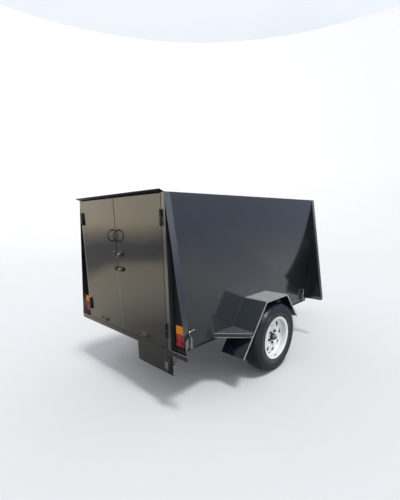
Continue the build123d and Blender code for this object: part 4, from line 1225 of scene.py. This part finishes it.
def round_outline(corners, radius, steps=4):
    """A closed outline in a plane, with its corners rounded."""
    looped = [Vector((*p, 0)) for p in corners]
    middle_of_last = (looped[-1] + looped[0]) / 2
    path = bent_path([middle_of_last, *looped, middle_of_last], radius, steps)
    return [(p.x, p.y) for p in path[1:]]


def cut_with(blank, punch):
    """The blank less the punch, by Blender's exact Boolean, as a new shape."""
    made = []
    for label, source in (("blank", blank), ("punch", punch)):
        bmesh.ops.recalc_face_normals(source, faces=source.faces)
        mesh = bpy.data.meshes.new(label)
        source.to_mesh(mesh)
        source.free()
        made.append(bpy.data.objects.new(label, mesh))
        scene.collection.objects.link(made[-1])
    press = made[0].modifiers.new("press", "BOOLEAN")
    press.operation, press.solver, press.object = "DIFFERENCE", "EXACT", made[1]
    bpy.context.view_layer.update()
    evaluated = made[0].evaluated_get(bpy.context.evaluated_depsgraph_get())
    result = bmesh.new()
    result.from_mesh(bpy.data.meshes.new_from_object(evaluated))
    for thing in made:
        bpy.data.objects.remove(thing)
    return result


outline = round_outline(vent_corners, 3.5)
for side_name, side in sides:
    blank, punch = bmesh.new(), bmesh.new()
    add_closed_turn(blank, (0, 0, 0), (0, 0, 1), dish)
    for number in range(vents):
        turn = Matrix.Rotation(math.radians(vent_start + 360 / vents * number), 3, "Z")
        add_sheet(punch, [turn @ Vector((x, y, disc_at - 12)) for x, y in outline], (0, 0, 36))
    disc = cut_with(blank, punch)
    for vert in disc.verts:
        a, b, along_axis = vert.co
        vert.co = Vector((side * (wheel_mid + along_axis), axle_y + a, axle_z + b))
    disc_piece = piece(f"rim_disc_{side_name}", disc, rim_white, f"rim_{side_name}")
    disc_piece.data.materials.append(brake_dust_and_shade)
    # The disc's inboard faces get the near-black finish, partly brake dust and partly painted
    # shade, and the walls of the vents get it as painted shade.
    for face in disc_piece.data.polygons:
        x, y, z = face.center / MM
        in_vent = abs(face.normal.x) < 0.35 and 90 < math.hypot(y - axle_y, z - axle_z) < 152
        if side * face.normal.x < -0.3 or in_vent:
            face.material_index = 1
print("disc faces:", len(disc_piece.data.polygons))

# %% [markdown]
# Each vent has a rolled lip. One lip is bent from a thin rod, closed on itself, and the ring tree
# sets eight of them round the disc. The disc slopes, so the lip leans with it.

# %% Vent lips
disc_fall = 17 / 70
for side_name, side in sides:
    lip = bmesh.new()
    turn = Matrix.Rotation(math.radians(vent_start * side), 3, "Z")
    path = [turn @ Vector((x, y, 16.8 - (x - 84) * disc_fall)) for x, y in outline]
    add_tube(lip, path, 0.9, 6, closed=True)
    centre = (side * hub_face_x, axle_y, axle_z)
    turn = (0, side * math.pi / 2, 0)
    lip_part = part_object("vent_lip", lip)
    rim_node = f"rim_{side_name}"
    lips = grow_ring(f"vent_lips_{side_name}", lip_part, vents, centre, turn, rim_white, rim_node)
print("lip faces:", len(lips.data.polygons))

# %% Valve and balance weight
valve_profile = [
    (-6, 0), (-6, 7), (0, 7), (4, 5), (14, 4), (26, 3.6), (26, 4.2), (34, 4.2), (35, 3), (35, 0),
]
valve_at, weight_from, weight_step = -128, -97, 1.3
for side_name, side in sides:
    rim_node = f"rim_{side_name}"
    centre = Vector((side * hub_face_x, axle_y, axle_z))
    angle = math.radians(valve_at)
    out = Vector((0, math.cos(angle), math.sin(angle)))
    shape = bmesh.new()
    foot = centre + out * 166 + Vector((side * 18, 0, 0))
    add_turned(shape, foot, (side, -out.y * 0.5, -out.z * 0.5), valve_profile, 16)
    piece(f"valve_{side_name}", shape, black_plastic, rim_node)
    shape = bmesh.new()
    arc = []
    for angle in (math.radians(weight_from + weight_step * step) for step in range(9)):
        spoke = Vector((side * 53, 170.6 * math.cos(angle), 170.6 * math.sin(angle)))
        arc.append(centre + spoke)
    add_tube(shape, arc, 3.6, 8)
    piece(f"balance_weight_{side_name}", shape, black_steel, rim_node)
print("valves and weights set")

# %% Hubs
hub_profile = [
    (-72, 20), (-72, 32), (-70, 34), (-12, 34), (-12, 72.5), (-10.5, 74), (-1.5, 74), (-0.3, 73),
    (-0.3, 34), (21, 33), (24, 31.5), (26, 29), (26, 20),
]
cap_profile = [
    (20, 0), (20, 22), (26.2, 22), (26.2, 26), (29, 26), (30, 24.4), (31, 23.6), (44, 21.5),
    (50, 18), (53, 12), (53.8, 6), (54, 0),
]
seat_profile = [(-0.5, 0), (-0.5, 11.5), (1.5, 11.5), (2.5, 9.5), (2.5, 0)]
stud_r = 57.15
stud, up = (stud_r, 0, 0), (0, 0, 1)
for side_name, side in sides:
    hub = f"hub_{side_name}"
    face_centre = Vector((side * hub_face_x, axle_y, axle_z))
    shape = bmesh.new()
    add_closed_turn(shape, face_centre, (side, 0, 0), hub_profile, 64)
    piece(f"hub_body_{side_name}", shape, black_rubber, hub, True)
    shape = bmesh.new()
    add_turned(shape, face_centre, (side, 0, 0), cap_profile)
    piece(f"dust_cap_{side_name}", shape, dull_zinc, hub)
    nut = bmesh.new()
    add_nut(nut, stud, up, 19, 14)
    add_rod(nut, stud, (stud_r, 0, 19), 5.8, 12, 1)
    add_turned(nut, stud, up, seat_profile, 16)
    centre, turn = face_centre + Vector((side * 5.2, 0, 0)), (0, side * math.pi / 2, 0)
    nut_part = part_object("wheel_nut", nut)
    grow_ring(f"wheel_nuts_{side_name}", nut_part, 5, centre, turn, bolt_black, hub)
print("hubs and nuts set")

# %% [markdown]
# ## Mudguards
# A mudguard is one sheet folded in three facets, with a lip turned down along its outer edge. Its
# side view is a bent line, so both the sheet and the lip are strips laid along that line. The sheet
# carries a darker, bluer copy of the gunmetal paint, as painted shade. The lip is its own strip in
# the pale paint, as a painted highlight along the edge.

# %% Guard sheets and lips
guard_x = box_mm("mudguard_right")[1].x
corner_shares = ((-1.606, -0.083), (-0.606, 1.197), (0.465, 1.197), (1.108, 0.385))
guard_corners = [(axle_y + along * tyre_r, axle_z + up * tyre_r) for along, up in corner_shares]
guard_line = rolled(guard_corners, 32, 6)
print("guard corners:", [(round(a), round(b)) for a, b in guard_corners])
for side_name, side in sides:
    guard = f"mudguard_{side_name}"
    shape = bmesh.new()
    add_strip(shape, guard_line, side * near_wall, side * (guard_x - 2), 0, -3)
    piece(f"guard_sheet_{side_name}", shape, shaded_guard_paint, guard, True)
    shape = bmesh.new()
    add_strip(shape, guard_line, side * (guard_x - 3.2), side * (guard_x - 0.1), 0, -13)
    roll_edges(shape, [e for e in shape.edges if e.calc_face_angle(0) > 1.2], 1.0, 2, clamp=True)
    piece(f"guard_lip_{side_name}", shape, pale_highlight_paint)
print("guards", round(guard_x - half_w), "wide")

# %% [markdown]
# ## Tread plate
# The guard's top and the steps are tread plate: raised bars in two directions that keep a boot
# from slipping. The bars repeat over the flat top, so the plate tree sets them in a checker of
# The bars are in the pale paint, as painted highlights on their tops. A paler strip over the
# guard's top facet is partly painted light from above and partly scuffing.


# %% Bars on the guard tops
def oval_bar(name, profile, steps, stretch):
    """A low round boss, stretched to an oval bar."""
    bar = bmesh.new()
    add_turned(bar, (0, 0, 0), (0, 0, 1), profile, steps)
    bmesh.ops.scale(bar, vec=(*stretch, 1), verts=bar.verts)
    return part_object(name, bar)


bar_profile = [(-0.3, 0), (-0.3, 4.0), (0.5, 3.6), (1.1, 2.2), (1.3, 0)]
bar_part = oval_bar("tread_bar", bar_profile, 10, (3.0, 0.85))
bar_pitch, bar_margin = 15, 16
guard_top_z = guard_corners[1][1]
top_from, top_to = guard_corners[1][0] + 12, guard_corners[2][0] - 12
top_size = (guard_x - half_w, top_to - top_from)
counts = [int((length - bar_margin) / bar_pitch) + 1 for length in top_size]
for side_name, side in sides:
    centre = (side * (half_w + guard_x) / 2, (top_from + top_to) / 2, guard_top_z)
    grow_plate(f"guard_bars_{side_name}", bar_part, counts, bar_pitch, centre, pale_highlight_paint)
    shape = bmesh.new()
    line = [(y, z + 0.25) for y, z in guard_line[4:-4]]
    add_strip(shape, line, side * (half_w + 4), side * (guard_x - 4), 0.1, -1)
    piece(f"guard_top_rubbed_{side_name}", shape, lit_and_scuffed_top_paint)
print("bars from", round(top_from), "to", round(top_to), counts)

# %% [markdown]
# Sheet that was folded and welded shows it: a row of small ripples runs where one piece meets
# another. The ripple is one low blob, and the path tree sets it along each joint with a little
# random size.

# %% Weld beads
bead = bmesh.new()
bmesh.ops.create_icosphere(bead, subdivisions=1, radius=3.0)
bmesh.ops.scale(bead, vec=(0.75, 1, 1), verts=bead.verts)
bead_part = part_object("weld_ripple", bead)


def weld(name, path, material=body_paint, spacing=0.0034):
    values = {"Spacing": spacing, "Jitter": 0.25, "Seed": len(made_pieces)}
    return grow(name, path_tree, bead_part, values, material, path=path, angle=60)


for side_name, side in sides:
    weld(f"guard_weld_{side_name}", [(side * (half_w + 0.8), y, z + 0.4) for y, z in guard_line])
    for label, y, inward in (("rear", rear_y, 1), ("front", front_y, -1)):
        heights = (sill_high + 4, guard_top_z - 20)
        upright = [(side * (half_w + 1), y + inward * 44, z) for z in heights]
        weld(f"fin_weld_{label}_{side_name}", upright, spacing=0.005)
        foot = [(side * x, y + inward * 40, sill_high + 1) for x in (half_w + 4, 730)]
        weld(f"fin_foot_weld_{label}_{side_name}", foot)
print("welds laid on guards and fins")

# %% [markdown]
# ## Steps
# A step fills the corner between the wall and the guard. Its plate carries bars in the same
# checker, which stop short of its slanting edge. That edge is folded down as a lip, and thin rods
# of the pale paint run along its top and its foot as painted highlights.

# %% Steps
soften("steps", 0.8, body_paint)
step_low, step_high = box_mm("steps")
step_x, _, step_top = step_high
(foot_y, foot_up), (knee_y, knee_up) = guard_corners[:2]
step_front = foot_y + (knee_y - foot_y) / (knee_up - foot_up) * (step_top - foot_up)
step_rear, step_outer = step_front - 247, step_front - 57
slant = (step_outer - step_rear) / (step_x - half_w)
for side_name, side in sides:
    shape = bmesh.new()
    bars = 0
    for row in range(1, 16):
        y = step_front - 4 - row * bar_pitch
        for column in range(1, 15):
            x = half_w + column * bar_pitch
            if y <= step_rear + slant * (x - half_w) + 12 or x >= step_x - 14:
                continue
            bars += 1
            turn = Matrix.Rotation(math.radians(45 if (row + column) % 2 else -45), 4, "Z")
            place = Matrix.Translation((side * x, y, step_top + 0.5)) @ turn
            bmesh.ops.create_cone(
                shape, cap_ends=True, segments=8, radius1=4, radius2=2.4, depth=1.2,
                matrix=place @ Matrix.Diagonal((2.8, 0.8, 1, 1)))
    piece(f"step_bars_{side_name}", shape, scuffed_paint)
    corners = [(half_w + 6, step_rear + 3), (step_x - 1, step_outer + 1)]
    corners += [(step_x - 1, step_front - 22)]
    edge = bent_path([(side * x, y, step_top) for x, y in corners], 18)
    shape = bmesh.new()
    add_tube(shape, [(p.x, p.y, p.z - 1.6) for p in edge], 1.9, 8)
    add_tube(shape, [(p.x, p.y, step_low.z + 1.8) for p in edge], 1.7, 8)
    piece(f"step_edge_{side_name}", shape, pale_highlight_paint)
print("step top at", round(step_top), "bars:", bars)

# %% [markdown]
# ## Floor and chassis
# The floor is tread plate laid on five bearers, and two rails carry the bearers. The plate's bars
# repeat over the whole floor, so the plate tree sets them, with a simpler bar than on the guards
# because there are more than a thousand. The rails and bearers are joined by short welds.

# %% Floor
soften("floor", 0.5, floor_plate)
floor_low, floor_high = box_mm("floor")
floor_bar = oval_bar("floor_bar", [(-0.4, 0), (-0.4, 6.4), (1.1, 4.2), (1.6, 0)], 8, (2.4, 0.75))
floor_pitch = 46
counts = [int(length / floor_pitch) for length in (floor_high - floor_low)[:2]]
centre = (*middle("floor")[:2], floor_high.z)
bars = grow_plate("floor_bars", floor_bar, counts, floor_pitch, centre, floor_plate)
print("floor bars:", len(bars.data.polygons), "faces")

# %% Chassis rails and bearers
soften("floor_bearers", 0.8, chassis_black)
soften("chassis_rails", 0, chassis_black)
bearer_low, bearer_high = box_mm("floor_bearers")
rail_x = box_mm("leaf_springs")[1].x - 22.5
rail_top = bearer_low.z
joints = []
for number in range(5):
    y = bearer_low.y + 20 + number * (bearer_high.y - bearer_low.y - 40) / 4
    for _, side in sides:
        for x in (side * rail_x - 25.5, side * rail_x + 25.5):
            joints.append([(x, y - 17, rail_top - 0.8), (x, y + 17, rail_top - 0.8)])
weld("bearer_welds", joints, chassis_black, 0.0036)
print("bearer welds:", len(joints))

# %% [markdown]
# ## Axle and springs
# A square beam is clamped under two leaf springs. Their eyes hang on bolts through the hangers,
# and small bands keep the leaves in line. A seal ring closes the back of each hub.

# %% Springs
soften("axle", 1.0, chassis_black)
soften("leaf_springs", 0, black_steel, merge_flats=False)
soften("spring_clamps", 0, dull_zinc)
eye_z = rail_top - 50 - 18
eye_reach, band_at = 380, 160
eye_bolts, bands, rings = bmesh.new(), bmesh.new(), bmesh.new()
seal_profile = [(21, 18.6), (21, 30), (23, 31.5), (32, 31.5), (34, 30), (34, 18.6)]
head_profile = [(-0.5, 0), (-0.5, 8.5), (2.6, 8.5), (4.2, 6), (4.2, 0)]
for _, side in sides:
    x = side * rail_x
    for y in (axle_y - eye_reach, axle_y + eye_reach):
        for out, nut_h in ((-1, 6), (1, 8)):
            spot = (x + out * 27.8, y, eye_z)
            add_bolt_end(eye_bolts, spot, (out, 0, 0), (13, 1.8), (1.6, 17, nut_h))
        add_rod(eye_bolts, (x + 34, y, eye_z), (x + 42, y, eye_z), 5.6)
    for y in (axle_y - band_at, axle_y + band_at):
        top = rail_top - 78.5 + 14 * (band_at / eye_reach) ** 2
        for out in (-1, 1):
            edge_x = x + out * 23.6
            add_block(bands, (edge_x - 1, y - 9, top - 23), (edge_x + 1, y + 9, top + 3), 0.4, 1)
            add_block(bands, (edge_x - 1, y - 6, top + 1), (edge_x + 1, y + 6, top + 11), 0.4, 1)
            add_nut(bands, (edge_x + out, y, top + 6), (out, 0, 0), 10, 4)
        low, high = (x - 24.6, y - 9, top - 24.8), (x + 24.6, y + 9, top - 22.6)
        add_block(bands, low, high, 0.4, 1)
        add_rod(bands, (x - 29, y, top + 6), (x + 29, y, top + 6), 3.2)
    seal_at = (side * (half_w + 60), axle_y, axle_z)
    add_closed_turn(rings, seal_at, (side, 0, 0), seal_profile, 40)
    for across, along in ((-33, -33), (33, -33), (-33, 33), (33, 33)):
        spot = (x + across, axle_y + along, 383.6)
        add_turned(rings, spot, (0, 0, 1), head_profile, 12)
piece("eye_bolts", eye_bolts, dull_zinc)
piece("spring_bands", bands, black_steel)
piece("seal_rings_and_bolt_heads", rings, dull_zinc)
print("springs at", round(rail_x), "eyes at", round(eye_z))

# %% [markdown]
# ## Drawbar and coupling
# Two rails meet at the nose and a plate lies over them. The coupling is bolted to the plate from
# above, with nuts below. Its lever turns on a pin through the body, and has a dipped plastic grip.
# The photo hides all of this, so these are the usual parts of such a trailer.

# %% Drawbar
soften("drawbar_rails", 1.5, chassis_black)
soften("head_plate", 0.8, chassis_black)
plate_low = box_mm("head_plate")[0]
bar_top = plate_low.z
nose_x = 31
bar_run = (nose_x - rail_x) / (box_mm("drawbar_rails")[1].y - front_y)


def on_bar(side, y, z, off):
    """A place beside a drawbar rail, which leans inwards as it runs forward."""
    return side * (rail_x + bar_run * (y - front_y) + off), y, z


lines = []
for _, side in sides:
    for off in (-25, 25):
        x = on_bar(side, front_y + 2, 0, off)[0]
        lines.append([(x, front_y + 1.2, z) for z in (bar_top - 46, bar_top - 4)])
    for first, last in ((40, 130), (170, 260)):
        ends = (plate_low.y + first, plate_low.y + last)
        lines.append([on_bar(side, y, bar_top - 0.6, 25.6) for y in ends])
weld("drawbar_welds", lines, chassis_black, 0.0038)
print("drawbar welds:", len(lines))

# %% Coupling
soften("coupling", 0, zinc, merge_flats=False)
soften("coupling_lever", 0.8, zinc)
coupling_y = box_mm("coupling")[0].y
lever_low, lever_high = box_mm("coupling_lever")
shape = bmesh.new()
for x in (-39, 39):
    for y in (coupling_y + 25, coupling_y + 75):
        down = (0, 0, -1)
        add_bolt_end(shape, (x, y, bar_top), down, (7.6, 1.4), (1.2, 13, 7), (6, 12, 3.8, 12), 16)
pin_y, pin_z = lever_high.y - 12, lever_low.z + 4.5
add_rod(shape, (-18, pin_y, pin_z), (18, pin_y, pin_z), 4, 20)
for out in (-1, 1):
    spot = (out * 13.2, pin_y, pin_z)
    add_bolt_end(shape, spot, (out, 0, 0), (7.5, 1.3), (1.0, 12, 5), sunk=0.2)
piece("coupling_bolts", shape, zinc)
shape = bmesh.new()
grip_line = [(lever_low.y + y, lever_high.z - 2.4 - 0.31 * y) for y in (0.5, 24, 48)]
add_strip(shape, grip_line, -14.6, 14.6, 4.6, -4.6)
roll_edges(shape, [e for e in shape.edges if e.calc_face_angle(0) > 0.8], 2.2, 3)
piece("lever_grip", shape, black_plastic, "coupling_lever")
print("coupling pin at", round(pin_y), round(pin_z))

# %% [markdown]
# ## Jockey wheel
# The outer tube is held in a collar bolted to the head plate. The crank on top winds the inner
# tube, and the wheel turns in a fork at its foot. The wheel is a solid rubber tyre on a moulded
# wheel with webs. The clamp screw, the crank's ribbed grip and the nuts are added here.

# %% Tubes and collar
soften("jockey_collar", 0.8, zinc)
soften("jockey_tube", 0, zinc, merge_flats=False)
soften("jockey_inner_tube", 0, dull_zinc, merge_flats=False)
soften("jockey_crank", 0, zinc, merge_flats=False)
soften("jockey_fork", 0.8, zinc)
jockey_y = middle("jockey_tube").y
collar_low, collar_high = box_mm("jockey_collar")
tube_low, tube_high = box_mm("jockey_tube")
up = (0, 0, 1)
shape = bmesh.new()
for angle in (math.radians(45 + 90 * number) for number in range(4)):
    spot = (50 * math.cos(angle), jockey_y + 50 * math.sin(angle), collar_low.z + 8)
    add_bolt_end(shape, spot, up, (9, 1.4), (1.2, 14, 7), (7, 12, 3.8, 12))
clamp_z = collar_high.z - 22
boss_profile = [(-2, 0), (-2, 13), (9, 13), (10.5, 11.5), (10.5, 0)]
add_turned(shape, (36.5, jockey_y, clamp_z), (1, 0, 0), boss_profile, 6)
add_rod(shape, (46, jockey_y, clamp_z), (84, jockey_y, clamp_z), 6, 24)
bar_ends = [(78, jockey_y + along, clamp_z) for along in (-38, 38)]
add_rod(shape, *bar_ends, 4, 20)
for spot in bar_ends:
    place = Matrix.Translation(spot)
    bmesh.ops.create_icosphere(shape, subdivisions=2, radius=5.6, matrix=place)
bead_profile = [(-3, 23.5), (-3, 24.8), (-2, 25.6), (2, 25.6), (3, 24.8), (3, 23.5)]
for z in (tube_low.z + 3, tube_high.z - 4, tube_high.z - 16):
    add_closed_turn(shape, (0, jockey_y, z), up, bead_profile, 48)
piece("jockey_collar_bolts_and_clamp", shape, zinc, "jockey_tube")
print("clamp screw at", round(clamp_z))

# %% Crank grip and fork nuts
crank_low, crank_high = box_mm("jockey_crank")
fork_x = box_mm("jockey_fork")[1].x
grip_y = crank_low.y + 13
grip_profile = [(0, 7.2), (0, 12.4), (1.5, 13.4)]
for low in range(4, 92, 11):
    grip_profile += [(low, 13.4), (low + 1, 13.9), (low + 6, 13.9), (low + 7, 13.4)]
grip_profile += [(93, 13.4), (95, 12.2), (95.6, 9), (95.6, 7.2)]
shape = bmesh.new()
add_closed_turn(shape, (0, grip_y, crank_high.z - 95.4), up, grip_profile, 32)
piece("crank_grip", shape, black_plastic, "jockey_crank")
shape = bmesh.new()
add_nut(shape, (0, grip_y, crank_high.z - 0.5), up, 13, 6)
lid_profile = [(1, 23.4), (1, 25.4), (4, 26), (22, 26), (25, 24.4), (26.4, 20), (26.4, 18)]
add_closed_turn(shape, (0, jockey_y, tube_high.z), up, lid_profile, 48)
piece("crank_cap_and_nut", shape, dull_zinc, "jockey_crank")
wheel_low, wheel_high = box_mm("jockey_wheel")
wheel_y, wheel_r = middle("jockey_wheel").y, (wheel_high.z - wheel_low.z) / 2
shape = bmesh.new()
for out in (-1, 1):
    spot = (out * fork_x, wheel_y, wheel_r)
    add_bolt_end(shape, spot, (out, 0, 0), (12, 1.6), (1.4, 18, 8), (8, 14, 5.4, 16), 24)
piece("fork_nuts", shape, dull_zinc, "jockey_fork")
print("jockey wheel radius", round(wheel_r, 1))

# %% Jockey tyre and wheel
tyre_profile = [
    (-25, 64), (-27, 72), (-27.4, 82), (-24.5, 91), (-19, 96.5), (-12, 98.6), (-11, 96.6),
    (-9, 96.6), (-8, 99.2), (-3, 99.6),
]
centre_profile = [
    (-27.5, 8), (-27.5, 14), (-26, 16), (-6, 19), (-4, 24), (-4, 54), (-7, 58), (-21, 60.5),
    (-25.6, 61.5), (-25.6, 64.4),
]
centre = (0, wheel_y, wheel_r)
for name, profile, material, instead in (
    ("jockey_tyre", tyre_profile, black_rubber, True),
    ("jockey_wheel_centre", centre_profile, moulded_grey, False),
):
    shape = bmesh.new()
    add_closed_turn(shape, centre, (1, 0, 0), mirrored(profile), 72)
    piece(name, shape, material, "jockey_wheel", instead)
web = bmesh.new()
for out in (-1, 1):
    corners = [(17, y, out * z) for y, z in ((-1.5, 25), (1.5, 25), (1.5, 3), (-1.5, 3))]
    add_sheet(web, corners, (43, 0, 0), 0.4)
web_part, turn = part_object("wheel_web", web), (0, math.pi / 2, 0)
webs = grow_ring("jockey_webs", web_part, 6, centre, turn, moulded_grey, "jockey_wheel")
print("web faces:", len(webs.data.polygons))

# %% [markdown]
# ## Inside of the doors
# A door skin this large needs a frame of flat bar behind it, or it would drum. Four bars and a
# middle bar are welded to each skin, and a rubber seal runs round near the edge. Both only show
# when a door is open.

# %% Door frames and seals
frame_in, bar_w, seal_in, seal_top = 16, 30, 8, 42
for door in ("door_left", "door_right"):
    label = door.split("_")[1]
    low, high = box_mm(door)
    back_y = high.y
    left, right = low.x + frame_in, high.x - frame_in
    foot, top = low.z + frame_in, high.z - frame_in
    mid_z = (foot + top) / 2
    shape = bmesh.new()
    for first, second in (
        ((left, foot), (left + bar_w, top)),
        ((right - bar_w, foot), (right, top)),
        ((left + bar_w, foot), (right - bar_w, foot + bar_w)),
        ((left + bar_w, top - bar_w), (right - bar_w, top)),
        ((left + bar_w, mid_z - bar_w / 2), (right - bar_w, mid_z + bar_w / 2)),
    ):
        near, far = (first[0], back_y - 0.5, first[1]), (second[0], back_y + 2.4, second[1])
        add_block(shape, near, far, 0.5, 1)
    piece(f"door_frame_{label}", shape, body_paint, door)
    left, right, foot, top = low.x + seal_in, high.x - seal_in, low.z + seal_in, high.z - seal_top
    start = (left, low.z + 60)
    loop = [start, (left, foot), (right, foot), (right, top), (left, top), start]
    loop = bent_path([(x, back_y + 0.8, z) for x, z in loop], 6, 4)
    shape = bmesh.new()
    add_tube(shape, loop[:-1], 2.0, 8, closed=True)
    piece(f"door_seal_{label}", shape, black_rubber, door)
print("doors framed")
